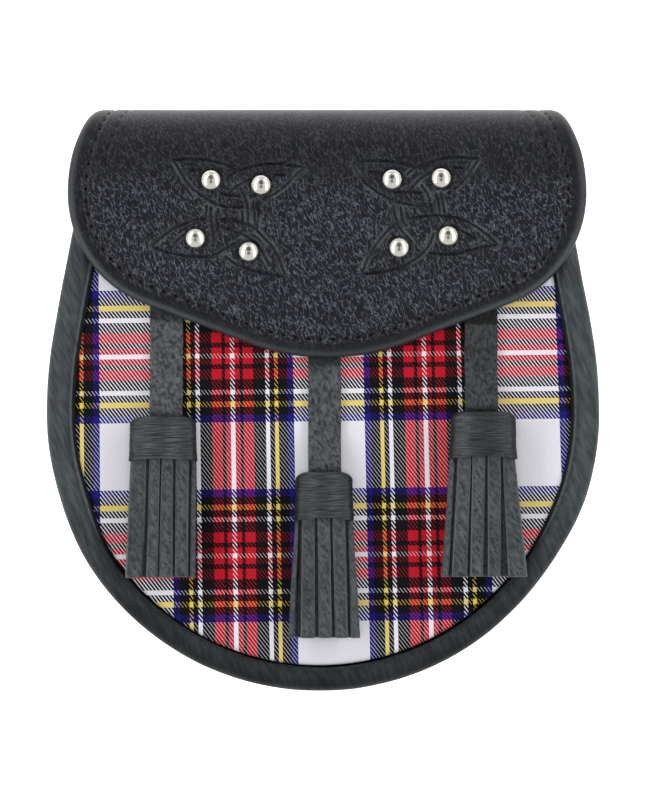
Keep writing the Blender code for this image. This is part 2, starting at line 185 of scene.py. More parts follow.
@dataclass(frozen=True)
class Leather:
    """A dyed leather: marked tops, dark hollows between, and a thin wax.

    Its meshes carry numbers that it reads: how polished and how deeply grooved the leather is,
    the groove laying painted shade, how raw it is or how strongly a painted highlight lies on it,
    and how much lighter than the rest, which holds both a piece's own lightness and painted light
    and shade.

    Attributes:
        name: The material's name.
        hollow: The colour of the grain's creases, darkened as painted shade.
        ridge: The colour of its tops, lighter partly from wear and partly as a painted highlight.
        cell: The size of one grain along its local X, Y and Z, in mm.
        turn: How far the grain is turned, in degrees.
        relief: How high the grain stands, in mm.
        fine: How high its finest marks stand, in mm.
        rough: The roughness.
        shine: How strongly its surface reflects.
        pore: The size of the pores' cells along local X, Y and Z, in mm, or nothing.
        grain: How the surface is marked.
        wander: How far the grain's lines stray, in mm.
        wander_size: Over what distance they stray, in mm.
        fine_size: The size of the finest marks, in mm.
        blotch_size: The size of the dye's light and dark blotches, in mm.
        vein_width: How far from the noise's middle a vein reaches.
        patch: Where the veins fade: the noise's low and high side, and the least share left.
        patch_size: The size of those patches, in mm.
        pore_depth: How deep a pore is, in mm.
        polished: How much of the grain a polished place loses.
        pore_shade_colour: The colour inside a pore, darkened as painted shade.
        cut_and_highlight_colour: The colour of a raw cut, and of a painted highlight.
        groove_shade_colour: The colour painted into grooves, dents and gaps as painted shade.
        ior: The wax's index of refraction.
    """

    name: str
    hollow: str
    ridge: str
    cell: Triple
    turn: float
    relief: float
    fine: float
    rough: float
    shine: float
    pore: Triple | None = None
    grain: Grain = Grain.STREAK
    wander: float = 0.3
    wander_size: float = 1.6
    fine_size: float = 0.55
    blotch_size: float = 14.0
    vein_width: float = 0.055
    patch: Triple = (0.34, 0.62, 0.40)
    patch_size: float = 1.5
    pore_depth: float = 0.12
    polished: float = 0.85
    pore_shade_colour: str = "0c0e0f"
    cut_and_highlight_colour: str = "6d7474"
    groove_shade_colour: str = "030304"
    ior: float = 1.47

    def placed(self, tree: Tree, place: Socket, size: Triple) -> Socket:
        """Turn the coordinates and measure them in grains.

        Args:
            tree: The material's node tree.
            place: The socket of the object's coordinates.
            size: One grain's size along X, Y and Z, in mm.

        Returns:
            The socket of the new coordinates.
        """
        turn = (0.0, 0.0, math.radians(self.turn))
        scale = tuple(side * MM for side in size)
        inputs = {"Vector": place, "Rotation": turn, "Scale": scale}
        return add_node(tree, "Mapping", inputs, vector_type="TEXTURE")

    def crown(self, tree: Tree, place: Socket) -> Socket:
        """Work out how high the grain stands.

        Args:
            tree: The material's node tree.
            place: The socket of the object's coordinates.

        Returns:
            The socket of the height, from 0 to 1.
        """
        wander = {"Vector": place, "Scale": 1 / (self.wander_size * MM), "Detail": 1.0}
        wander = add_node(tree, "TexNoise", wander, 1)
        stray = (self.wander * MM,) * 3
        moved = add_node(tree, "VectorMath", (wander, stray, place), operation="MULTIPLY_ADD")
        placed = self.placed(tree, moved, self.cell)
        if self.grain is Grain.PEBBLE:
            inputs = {"Vector": placed, "Scale": 1.0, "Randomness": 0.95}
            edge = add_node(tree, "TexVoronoi", inputs, "Distance", feature="DISTANCE_TO_EDGE")
            inputs = {"Value": edge, "From Max": 0.30}
            return add_node(tree, "MapRange", inputs, interpolation_type="SMOOTHSTEP")
        streak = add_node(tree, "TexNoise", {"Vector": placed, "Scale": 0.8, "Detail": 2.0})
        if self.grain is Grain.STREAK:
            return add_node(tree, "MapRange", {"Value": streak, "From Min": 0.34, "From Max": 0.66})
        off = add_node(tree, "Math", (streak, 0.5), operation="SUBTRACT")
        off = add_node(tree, "Math", (off,), operation="ABSOLUTE")
        inputs = {"Value": off, "From Max": self.vein_width, "To Min": 1.0, "To Max": 0.0}
        vein = add_node(tree, "MapRange", inputs, interpolation_type="SMOOTHSTEP")
        inputs = {"Vector": place, "Scale": 1 / (self.patch_size * MM), "Detail": 1.0}
        patch = add_node(tree, "TexNoise", inputs)
        low, high, least = self.patch
        inputs = {"Value": patch, "From Min": low, "From Max": high, "To Min": least}
        patch = add_node(tree, "MapRange", inputs)
        return add_node(tree, "Math", (vein, patch), operation="MULTIPLY")

    def material(self) -> Material:
        """Build the material.

        Returns:
            The material.
        """
        values = {"Roughness": self.rough, "IOR": self.ior, "Specular IOR Level": self.shine}
        material, tree, shader, place = new_material(self.name, values)
        crown = self.crown(tree, place)
        fine = {"Vector": place, "Scale": 1 / (self.fine_size * MM), "Detail": 2.0, "Roughness": 0.6}
        fine = add_node(tree, "TexNoise", fine)
        blotch = {"Vector": place, "Scale": 1 / (self.blotch_size * MM), "Detail": 2.0}
        blotch = add_node(tree, "TexNoise", blotch)
        polish, groove, cut, tone_and_painted_light = (
            add_node(tree, "Attribute", output="Fac", attribute_name=name)
            for name in ("polish", "groove", "cut", "tone_and_painted_light")
        )
        rawness = add_node(tree, "Math", (polish, -self.polished, 1.0), operation="MULTIPLY_ADD")
        height = add_node(tree, "Math", (crown, self.relief), operation="MULTIPLY")
        height = add_node(tree, "Math", (fine, self.fine, height), operation="MULTIPLY_ADD")
        height = add_node(tree, "Math", (height, rawness), operation="MULTIPLY")
        # Lighter tops and darker hollows: partly wear, partly painted highlights on the tops and painted
        # shade in the hollows.
        worn = add_node(tree, "Math", (crown, rawness), operation="MULTIPLY")
        wear_and_glint = add_node(tree, "Math", (fine, 1.6, 0.2), operation="MULTIPLY_ADD")
        worn = add_node(tree, "Math", (worn, wear_and_glint), operation="MULTIPLY")
        inputs = {0: worn, 6: linear(self.hollow), 7: linear(self.ridge)}
        colour = add_node(tree, "Mix", inputs, 2, data_type="RGBA")
        shade = add_node(tree, "Math", (blotch, 0.6, 0.7), operation="MULTIPLY_ADD")
        # Adds a piece's own lightness and its painted light and shade.
        shade = add_node(tree, "Math", (shade, tone_and_painted_light), operation="ADD")
        inputs = {0: 1.0, 6: colour, 7: shade}
        colour = add_node(tree, "Mix", inputs, 2, data_type="RGBA", blend_type="MULTIPLY")
        # The groove mark lays painted shade; the cut mark lightens raw cuts and lays painted highlights.
        layers = [(cut, 0.7, self.cut_and_highlight_colour), (groove, 0.9, self.groove_shade_colour)]
        if self.pore:
            inputs = {"Vector": self.placed(tree, place, self.pore), "Scale": 1.0, "Randomness": 0.8}
            gap = add_node(tree, "TexVoronoi", inputs, "Distance", feature="F1")
            inputs = {"Value": gap, "From Min": 0.10, "From Max": 0.42, "To Min": 1.0, "To Max": 0.0}
            pit = add_node(tree, "MapRange", inputs)
            height = add_node(tree, "Math", (pit, -self.pore_depth, height), operation="MULTIPLY_ADD")
            # Pores are painted dark: painted shade inside them.
            layers.insert(0, (pit, 0.65, self.pore_shade_colour))
        for where, strength, paint in layers:
            share = add_node(tree, "Math", (where, strength), operation="MULTIPLY")
            inputs = {0: share, 6: colour, 7: linear(paint)}
            colour = add_node(tree, "Mix", inputs, 2, data_type="RGBA")
        bump = add_node(tree, "Bump", {"Height": height, "Strength": 1.0, "Distance": MM})
        tree.links.new(colour, shader.inputs["Base Color"])
        tree.links.new(bump, shader.inputs["Normal"])
        return material


class Stripe(NamedTuple):
    """One stripe of the tartan, out from a sett's middle.

    Attributes:
        colour: The yarn's colour.
        weft: The stripe's outer side along the weft count, in pixels.
        warp: The same along the warp count.
    """

    colour: str
    weft: float
    warp: float


WHITE_YARN = "dddce2"
RED_YARN = "b21222"
BLACK_YARN = "09090d"
YELLOW_YARN = "dac14c"
BLUE_YARN = "1a1570"
HALF_SETT = (
    Stripe(WHITE_YARN, 2.3, 2.2),
    Stripe(RED_YARN, 8.0, 7.0),
    Stripe(BLACK_YARN, 13.2, 10.3),
    Stripe(RED_YARN, 23.2, 20.5),
    Stripe(BLACK_YARN, 33.7, 32.6),
    Stripe(WHITE_YARN, 38.5, 36.7),
    Stripe(BLACK_YARN, 45.4, 41.6),
    Stripe(YELLOW_YARN, 50.8, 45.1),
    Stripe(BLACK_YARN, 58.9, 54.6),
    Stripe(BLUE_YARN, 66.1, 60.6),
    Stripe(WHITE_YARN, 99.95, 96.2),
)


@dataclass(frozen=True)
class Tartan:
    """A worsted twill: two yarns over and two under, so that the crossings make slanting lines.

    Combed wool scatters light evenly, with hardly a gloss. The darker yarns are the
    thicker ones, so they cover more than half of each crossing. The real threads are
    0.35 mm apart. The twill's lines are drawn at the repeat that shows in the photograph.

    Attributes:
        name: The material's name.
        middle: The pixel, across and down, where two setts' middles cross.
        level: The pixel row at which the warp is measured across.
        turn: How far the warp and the weft are turned, in degrees.
        fan: How the warp's turn grows from left to right, in degrees a metre.
        stretch: How the cloth is stretched near its sides, a square metre.
        twill: One twill line's repeat across and down, in mm.
        light_share: How much of a crossing a light warp shows over a dark weft, and a light weft
            over a dark warp.
        pale_share: How much of it a light warp shows over a pale weft.
        contrast: The power by which a light warp's share grows as the weft darkens.
        most: The greatest difference in lightness between two yarns.
        even: The difference in lightness within which two yarns share a crossing evenly.
        soft: How softly one yarn gives way to the other, as a share of a twill line.
        fuzz_size: The size of the wool's fuzz, in mm.
        fuzz: How far the fuzz bends the twill lines, as a share of one.
        bump: How high the threads stand, in mm.
        rough: The roughness.
        sheen: The weight and the roughness of the fuzz's sheen.
        shine: How strongly its surface reflects.
    """

    name: str = "worsted twill tartan"
    middle: Pair = (233.4, 354.6)
    level: float = 431.0
    turn: Pair = (1.15, 0.62)
    fan: float = 10.0
    stretch: float = -1.6
    twill: Pair = (1.241, 1.690)
    light_share: Pair = (0.33, 0.12)
    pale_share: float = 0.15
    contrast: float = 6.0
    most: float = 0.71
    even: float = 0.08
    soft: float = 0.05
    fuzz_size: float = 0.45
    fuzz: float = 0.16
    bump: float = 0.10
    rough: float = 0.85
    sheen: Pair = (0.05, 0.5)
    shine: float = 0.15

    def stripes(self, tree: Tree, along: Socket, way: str) -> Socket:
        """Colour one set of yarns.

        Args:
            tree: The material's node tree.
            along: The socket of the distance across the stripes.
            way: "weft" or "warp".

        Returns:
            The socket of the yarns' colour.
        """
        ends = [getattr(stripe, way) for stripe in HALF_SETT]
        half = ends[-1] * PHOTO_SCALE
        folded = add_node(tree, "Math", (along, half), operation="PINGPONG")
        share = add_node(tree, "Math", (folded, half), operation="DIVIDE")
        ramp = add_node(tree, "ValToRGB", {"Fac": share}).node
        ramp.color_ramp.interpolation = "CONSTANT"
        starts = [0.0] + [end / ends[-1] for end in ends[:-1]]
        elements = ramp.color_ramp.elements
        while len(elements) < len(starts):
            elements.new(1.0)
        for element, start, stripe in zip(elements, starts, HALF_SETT):
            element.position = start
            element.color = linear(stripe.colour)
        return ramp.outputs["Color"]

    def counts(self, tree: Tree, place: Socket) -> tuple[Socket, Socket]:
        """Work out the distances across the warp and across the weft.

        Args:
            tree: The material's node tree.
            place: The socket of the object's coordinates.

        Returns:
            The sockets of the two distances.
        """
        x, y = add_node(tree, "SeparateXYZ", (place,)).node.outputs[:2]
        (middle_x, middle_y), (_, level_y) = from_photo([self.middle, (0.0, self.level)])
        warp_turn, weft_turn = (math.tan(math.radians(angle)) for angle in self.turn)
        slope = add_node(tree, "Math", (x, math.radians(self.fan), warp_turn), operation="MULTIPLY_ADD")
        drop = add_node(tree, "Math", (y, level_y), operation="SUBTRACT")
        square = add_node(tree, "Math", (x, x), operation="MULTIPLY")
        cube = add_node(tree, "Math", (x, square), operation="MULTIPLY")
        across = add_node(tree, "Math", (drop, slope, x), operation="MULTIPLY_ADD")
        across = add_node(tree, "Math", (cube, self.stretch, across), operation="MULTIPLY_ADD")
        across = add_node(tree, "Math", (across, middle_x), operation="SUBTRACT")
        up = add_node(tree, "Math", (x, -weft_turn, y), operation="MULTIPLY_ADD")
        up = add_node(tree, "Math", (up, middle_y), operation="SUBTRACT")
        return across, up

    def warp_under(self, tree: Tree, warp: Socket, weft: Socket) -> Socket:
        """Work out how much of each half twill line shows the warp.

        Args:
            tree: The material's node tree.
            warp: The socket of the warp's colour.
            weft: The socket of the weft's colour.

        Returns:
            The socket of the share, up to 0.5.
        """
        lights = [add_node(tree, "RGBToBW", (yarn,)) for yarn in (warp, weft)]
        lighter = add_node(tree, "Math", lights, operation="SUBTRACT")
        light_warp, light_weft = self.light_share
        contrast = add_node(tree, "Math", (lighter, 0.0), operation="MAXIMUM")
        contrast = add_node(tree, "Math", (contrast, self.contrast), operation="POWER")
        growth = (light_warp - self.pale_share) / 2 / self.most**self.contrast
        inputs = (contrast, growth, self.pale_share / 2)
        inputs = {
            "Value": lighter,
            "From Min": -self.even,
            "From Max": self.even,
            "To Min": (1 - light_weft) / 2,
            "To Max": add_node(tree, "Math", inputs, operation="MULTIPLY_ADD"),
        }
        return add_node(tree, "MapRange", inputs)

    def material(self) -> Material:
        """Build the material.

        Returns:
            The material.
        """
        values = {
            "Roughness": self.rough,
            "Sheen Weight": self.sheen[0],
            "Sheen Roughness": self.sheen[1],
            "Specular IOR Level": self.shine,
        }
        material, tree, shader, place = new_material(self.name, values)
        across, up = self.counts(tree, place)
        warp = self.stripes(tree, across, "warp")
        weft = self.stripes(tree, up, "weft")
        slant = add_node(tree, "Math", (across, 1 / (self.twill[0] * MM)), operation="MULTIPLY")
        inputs = (up, 1 / (self.twill[1] * MM), slant)
        slant = add_node(tree, "Math", inputs, operation="MULTIPLY_ADD")
        inputs = {"Vector": place, "Scale": 1 / (self.fuzz_size * MM), "Detail": 2.0}
        fuzz = add_node(tree, "TexNoise", inputs)
        slant = add_node(tree, "Math", (fuzz, self.fuzz, slant), operation="MULTIPLY_ADD")
        wave = add_node(tree, "Math", (slant, 0.5), operation="PINGPONG")
        edge = self.warp_under(tree, warp, weft)
        over = add_node(tree, "Math", (wave, edge), operation="SUBTRACT")
        inputs = {"Value": over, "From Min": -self.soft, "From Max": self.soft}
        over = add_node(tree, "MapRange", inputs)
        colour = add_node(tree, "Mix", {0: over, 6: warp, 7: weft}, 2, data_type="RGBA")
        shade = add_node(tree, "Math", (fuzz, 0.24, 0.88), operation="MULTIPLY_ADD")
        inputs = {0: 1.0, 6: colour, 7: shade}
        colour = add_node(tree, "Mix", inputs, 2, data_type="RGBA", blend_type="MULTIPLY")
        height = add_node(tree, "Math", (fuzz, 0.4), operation="MULTIPLY")
        height = add_node(tree, "Math", (wave, 1.6, height), operation="MULTIPLY_ADD")
        inputs = {"Height": height, "Strength": 0.5, "Distance": self.bump * MM}
        tree.links.new(colour, shader.inputs["Base Color"])
        tree.links.new(add_node(tree, "Bump", inputs), shader.inputs["Normal"])
        return material


@dataclass(frozen=True)
class Nickel:
    """Nickel plate, polished and much handled: a warm white mirror, faintly blurred by wear.

    Attributes:
        name: The material's name.
        colour: The metal's colour.
        rough: Its roughness.
        wear: How much the roughness changes from place to place.
        wear_size: The size of the worn places, in mm.
    """

    name: str = "polished nickel"
    colour: str = "fbf8ee"
    rough: float = 0.23
    wear: float = 0.08
    wear_size: float = 1.5

    def material(self) -> Material:
        """Build the material.

        Returns:
            The material.
        """
        values = {"Base Color": linear(self.colour), "Metallic": 1.0}
        material, tree, shader, place = new_material(self.name, values)
        mark = {"Vector": place, "Scale": 1 / (self.wear_size * MM), "Detail": 3.0}
        mark = add_node(tree, "TexNoise", mark)
        rough = (mark, self.wear, self.rough - self.wear / 2)
        rough = add_node(tree, "Math", rough, operation="MULTIPLY_ADD")
        tree.links.new(rough, shader.inputs["Roughness"])
        return material


@dataclass(frozen=True)
class Thread:
    """Linen thread, dyed black and waxed: dull, with its twist just showing.

    Attributes:
        name: The material's name.
        colour: The thread's colour.
        rough: Its roughness.
        shine: How strongly its surface reflects.
        twist: The size of its twist, in mm.
        bump: How high the twist stands, in mm.
    """

    name: str = "waxed black thread"
    colour: str = "050507"
    rough: float = 0.6
    shine: float = 0.12
    twist: float = 0.3
    bump: float = 0.1

    def material(self) -> Material:
        """Build the material.

        Returns:
            The material.
        """
        values = {
            "Base Color": linear(self.colour),
            "Roughness": self.rough,
            "Specular IOR Level": self.shine,
        }
        material, tree, shader, place = new_material(self.name, values)
        twist = add_node(tree, "TexNoise", {"Vector": place, "Scale": 1 / (self.twist * MM), "Detail": 1.0})
        bump = {"Height": twist, "Strength": 0.6, "Distance": self.bump * MM}
        tree.links.new(add_node(tree, "Bump", bump), shader.inputs["Normal"])
        return material


Finish = Leather | Tartan | Nickel | Thread

# Cowhide pressed with a hair-cell plate, dyed black and waxed: near-black hollows, darkened as painted
# shade, under thin grey wisps, painted highlights on the raised grain. The wisps are drawn about a
# millimetre long.
FLAP_LEATHER = Leather(
    name="black hair-cell cowhide",
    hollow="15161b",
    ridge="5e616c",
    cell=(0.85, 2.5, 1.5),
    turn=25.0,
    relief=0.16,
    fine=0.14,
    rough=0.40,
    shine=0.30,
    grain=Grain.VEIN,
    wander=0.5,
)
# Smooth calf stretched over a cord core: an even grey-green satin, with only faint streaks.
BORDER_LEATHER = Leather(
    name="smooth rolled leather",
    hollow="303436",
    ridge="444a4c",
    cell=(0.9, 5.0, 3.0),
    turn=22.0,
    relief=0.03,
    fine=0.05,
    rough=0.52,
    shine=0.12,
)
# Split leather with a fine natural grain: soft grey speckles, and little gloss.
STRAP_LEATHER = Leather(
    name="fine grain strap leather",
    hollow="232527",
    ridge="4f5355",
    cell=(0.8, 1.3, 1.0),
    turn=20.0,
    relief=0.14,
    fine=0.14,
    rough=0.42,
    shine=0.35,
)
# Thin leather wound wet and dried tight: fine creases round the head, which catch the light.
BAND_LEATHER = Leather(
    name="creased band leather",
    hollow="1b1e1f",
    ridge="454a4c",
    cell=(5.5, 0.36, 1.8),
    turn=1.5,
    relief=0.10,
    fine=0.05,
    rough=0.40,
    shine=0.38,
    wander=0.25,
)
# Leather cut into strips: slanting streaks and open pores, and grey raw edges.
STRIP_LEATHER = Leather(
    name="cut strip leather",
    hollow="2b2f31",
    ridge="484d4f",
    cell=(0.8, 2.2, 1.3),
    turn=36.0,
    relief=0.10,
    fine=0.10,
    rough=0.42,
    shine=0.38,
    pore=(1.4, 1.9, 1.7),
)
# Plain pebbled leather for what the photograph hides: black, with low rounded grain.
BACK_LEATHER = Leather(
    name="plain back leather",
    hollow="17181b",
    ridge="2c2e32",
    cell=(1.4, 2.0, 1.6),
    turn=20.0,
    relief=0.08,
    fine=0.04,
    rough=0.42,
    shine=0.45,
    grain=Grain.PEBBLE,
)


class Palette:
    """Makes each finish's material once."""

    def __init__(self) -> None:
        """Start with no materials."""
        self.made: dict[str, Material] = {}

    def get(self, finish: Finish) -> Material:
        """Return the material of a finish, made when it is first asked for.

        Args:
            finish: One of the finishes above.

        Returns:
            Its material.
        """
        if finish.name not in self.made:
            self.made[finish.name] = finish.material()
        return self.made[finish.name]


PALETTE = Palette()


def dress_node(name: str, finish: Finish) -> None:
    """Give a CAD node that stays its finish.

    Args:
        name: The node's name.
        finish: Its finish.
    """
    for place in bpy.data.objects[name].material_slots:
        place.material = PALETTE.get(finish)


def new_piece(
    name: str, mesh: bpy.types.Mesh, finish: Finish, replaced: Sequence[str] = ()
) -> bpy.types.Object:
    """Add a finished mesh to the scene as a piece of the pouch.

    Args:
        name: The piece's name.
        mesh: Its mesh, already in its place.
        finish: Its finish.
        replaced: The CAD nodes that it stands for.

    Returns:
        The piece's object.
    """
    piece = bpy.data.objects.new(name, mesh)
    bpy.context.scene.collection.objects.link(piece)
    mesh.materials.append(PALETTE.get(finish))
    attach(piece, BODY)
    if replaced:
        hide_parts(*replaced)
    log.info("%s: %d faces", name, len(mesh.polygons))
    return piece


def finish_mesh(bm: BMesh, name: str, sharp: float = 50.0) -> bpy.types.Mesh:
    """Turn a bmesh into a smooth-shaded mesh.

    Args:
        bm: The bmesh, which is freed.
        name: The mesh's name.
        sharp: Edges sharper than this many degrees stay sharp.

    Returns:
        The mesh.
    """
    mesh = bpy.data.meshes.new(name)
    bm.to_mesh(mesh)
    bm.free()
    mesh.shade_smooth()
    mesh.set_sharp_from_angle(angle=math.radians(sharp))
    return mesh


def soften_edges(piece: bpy.types.Object, radius: float, sharp: float) -> None:
    """Round a piece's sharp edges.

    Args:
        piece: The piece.
        radius: The radius of its edges.
        sharp: Edges sharper than this many degrees are rounded.
    """
    soft = piece.modifiers.new("Edge", "BEVEL")
    soft.width = radius
    soft.segments = 2
    soft.limit_method = "ANGLE"
    soft.angle_limit = math.radians(sharp)


def add_wall(piece: bpy.types.Object, wall: float, round_edge: float) -> None:
    """Give a sheet of leather its thickness and a soft edge.

    Args:
        piece: The piece.
        wall: The leather's thickness.
        round_edge: The radius of its edges.
    """
    thick = piece.modifiers.new("Wall", "SOLIDIFY")
    thick.thickness = wall
    thick.offset = 0.0
    thick.use_even_offset = True
    soften_edges(piece, round_edge, 50)


def grid(bm: BMesh, rows: int, columns: int) -> list[bmesh.types.BMVert]:
    """Add a flat grid with vertices at whole numbers: x is the column and y the row.

    Args:
        bm: The bmesh that it goes into.
        rows: How many rows of vertices.
        columns: How many columns of vertices.

    Returns:
        The grid's vertices.
    """
    verts = bmesh.ops.create_grid(bm, x_segments=columns - 1, y_segments=rows - 1, size=1.0)["verts"]
    for vert in verts:
        column = (vert.co.x + 1) / 2 * (columns - 1)
        row = (vert.co.y + 1) / 2 * (rows - 1)
        vert.co = (round(column), round(row), 0.0)
    return verts


def skin(
    bm: BMesh,
    places: Array,
    closed: bool = False,
    capped: bool = False,
    marks: dict[str, Array] | None = None,
) -> None:
    """Lay a surface over rows of points.

    Args:
        bm: The bmesh that it goes into.
        places: Points, as rows x columns x 3.
        closed: Join each row's last point to its first.
        capped: Close the first and the last row with a face.
        marks: Numbers for each point, by the name that materials read them by.
    """
    marks = marks or {}
    if closed:
        places = np.concatenate([places, places[:, :1]], axis=1)
        marks = {name: np.concatenate([values, values[:, :1]], axis=1) for name, values in marks.items()}
    for name in marks:
        if name not in bm.verts.layers.float:
            bm.verts.layers.float.new(name)
    verts = grid(bm, *places.shape[:2])
    for vert in verts:
        row, column = int(vert.co.y), int(vert.co.x)
        for name, values in marks.items():
            vert[bm.verts.layers.float[name]] = values[row, column]
        vert.co = places[row, column]
    if closed:
        bmesh.ops.remove_doubles(bm, verts=verts, dist=1e-7)
    if capped:
        bmesh.ops.holes_fill(bm, edges=[edge for edge in bm.edges if edge.is_boundary], sides=0)
    bmesh.ops.recalc_face_normals(bm, faces=bm.faces)


def graded(stops: Points, last: float) -> Array:
    """Values with a chosen spacing over each stretch.

    Args:
        stops: (where a stretch starts, its spacing), in order.
        last: Where the last stretch ends.

    Returns:
        All the values, with both ends.
    """
    values = []
    ends = [start for start, _ in stops[1:]] + [last]
    for (start, spacing), end in zip(stops, ends):
        count = max(1, round(abs(end - start) / spacing))
        values.extend(np.linspace(start, end, count, endpoint=False))
    values.append(last)
    return np.array(values)


def smooth_line(points: Array, spacing: float) -> Array:
    """Draw a smooth curve through a few points.

    Args:
        points: Rows of coordinates.
        spacing: The distance between the curve's samples.

    Returns:
        The samples, as rows of coordinates.
    """
    padded = np.vstack([2 * points[0] - points[1], points, 2 * points[-1] - points[-2]])
    samples = []
    for before, first, second, after in zip(padded, padded[1:], padded[2:], padded[3:]):
        count = max(2, int(np.linalg.norm(second - first) / spacing) + 1)
        slope = second - before
        curve = 2 * before - 5 * first + 4 * second - after
        twist = 3 * first - before - 3 * second + after
        for t in np.linspace(0, 1, count, endpoint=False):
            samples.append(0.5 * (2 * first + slope * t + curve * t**2 + twist * t**3))
    samples.append(points[-1])
    return np.array(samples)


def smooth_corners(points: Array, spacing: float) -> Array:
    """Add points along a line's long straight pieces.

    Args:
        points: The line's corners.
        spacing: The greatest distance left between points.

    Returns:
        The line with its added points.
    """
    filled = [points[0]]
    for first, second in zip(points, points[1:]):
        length = np.linalg.norm(second - first)
        if length < 1e-9:
            continue
        count = max(1, int(math.ceil(length / spacing)))
        for i in range(1, count + 1):
            filled.append(first + (second - first) * i / count)
    return np.array(filled)


def distance_to(points: Array, line: Array) -> Array:
    """Distance of each point to a line of straight pieces, in the plane.

    Args:
        points: Rows of (x, y).
        line: The line's corners, as rows of (x, y).

    Returns:
        One distance for each point.
    """
    start, end = line[:-1], line[1:]
    run = end - start
    length = np.maximum((run**2).sum(axis=1), 1e-18)
    found = np.empty(len(points))
    for first in range(0, len(points), 4096):
        chunk = points[first : first + 4096]
        offset = chunk[:, None, :] - start[None]
        share = np.clip((offset * run).sum(axis=2) / length, 0.0, 1.0)
        gap = offset - share[..., None] * run
        found[first : first + 4096] = np.sqrt((gap**2).sum(axis=2).min(axis=1))
    return found


def ease(share: Array) -> Array:
    """Rise smoothly from 0 to 1 as the share does."""
    share = np.clip(share, 0.0, 1.0)
    return share * share * (3 - 2 * share)


def bell(gap: Array, middle: float, width: float) -> Array:
    """Rise to 1 where the gap is at its middle, over the given width."""
    return np.exp(-(((gap - middle) / width) ** 2))


def uneven(x: float, y: float, z: float, size: float) -> float:
    """A smooth random number from -1 to 1 that changes over the given size, in metres."""
    return noise.noise(Vector((x / size, y / size, z / size)))


class Stroke(NamedTuple):
    """One pressed line of a tooled knot.

    Attributes:
        name: Which line it is.
        pixels: Pixels of the photograph that it runs through.
    """

    name: str
    pixels: Points


LEFT_KNOT = (
    Stroke("upper left leaf, top", (
        (172, 160.5), (186, 158.8), (201, 159.2), (216.6, 161.9), (229.6, 165.9), (237.2, 169.7),
    )),
    Stroke("upper left leaf, bottom", (
        (174, 160.8), (181, 172.4), (188.4, 183.8), (198, 193), (210, 200.6), (223, 206), (243.7, 207.4),
    )),
    Stroke("upper left vein", ((190, 170), (201.4, 170.2))),
    Stroke("upper left inner bottom", ((220, 192.8), (231, 195.2), (240.4, 195.7))),
    Stroke("upper right leaf, top", (
        (304.9, 167.5), (289, 164.8), (275, 163.7), (262, 164.3), (251, 166.6), (238, 171), (227.4, 177.3),
    )),
    Stroke("upper right band", ((251.2, 178.4), (241.5, 183.2), (234, 188.7), (229.6, 192.4))),
    Stroke("upper right leaf, bottom", (
        (304, 168.2), (298.4, 172), (291.4, 179.5), (281.6, 188.7), (271.8, 195.2), (262, 199),
    )),
    Stroke("upper right vein", ((274, 174.6), (284.9, 175.1))),
    Stroke("lower left leaf, top", (
        (152, 245.6), (162.3, 236.9), (173, 228.8), (184, 223.9), (194, 220.1), (205.7, 218.5),
    )),
    Stroke("lower left leaf, bottom", (
        (152, 246.2), (164.5, 251), (177.5, 254.2), (190.5, 256.2), (205.7, 256.4), (216.6, 253.7),
        (223, 249.9), (231.7, 245.6), (240.4, 239.6),
    )),
    Stroke("lower left vein", ((174.8, 242.3), (184, 234.7))),
    Stroke("lower right leaf, top", (
        (220.9, 219), (231.7, 219.6), (242.6, 222.8), (253.4, 227.1), (266.4, 240.2), (274, 248.8),
        (279.4, 259.7), (285.9, 277),
    )),
    Stroke("lower right inner top", (
        (225.2, 228.2), (238.2, 232), (249, 238), (257.7, 244.5), (263.2, 253.2), (269, 265.1),
    )),
    Stroke("lower right leaf, bottom", (
        (225.2, 256.4), (235, 263.5), (246.9, 268.3), (259.9, 272.1), (272.9, 274.3), (284.5, 276.2),
    )),
    Stroke("left weave, first", ((206.8, 205.5), (205.7, 216.3))),
    Stroke("left weave, second", ((211, 207), (210.6, 217.4), (212.8, 230.4), (214.4, 240.2))),
    Stroke("left weave, third", ((218.2, 208.7), (217, 217.4), (218.2, 230.4))),
    Stroke("right weave, first", ((240.4, 188), (245.3, 197.9), (247.4, 208.7), (248, 222.8))),
    Stroke("right weave, second", ((253.4, 201), (254.5, 213), (254.5, 225.5))),
    Stroke("right weave, third", ((258.3, 201), (258.3, 213), (257.2, 228.2))),
    Stroke("middle weave", ((242, 211), (242.6, 221))),
)
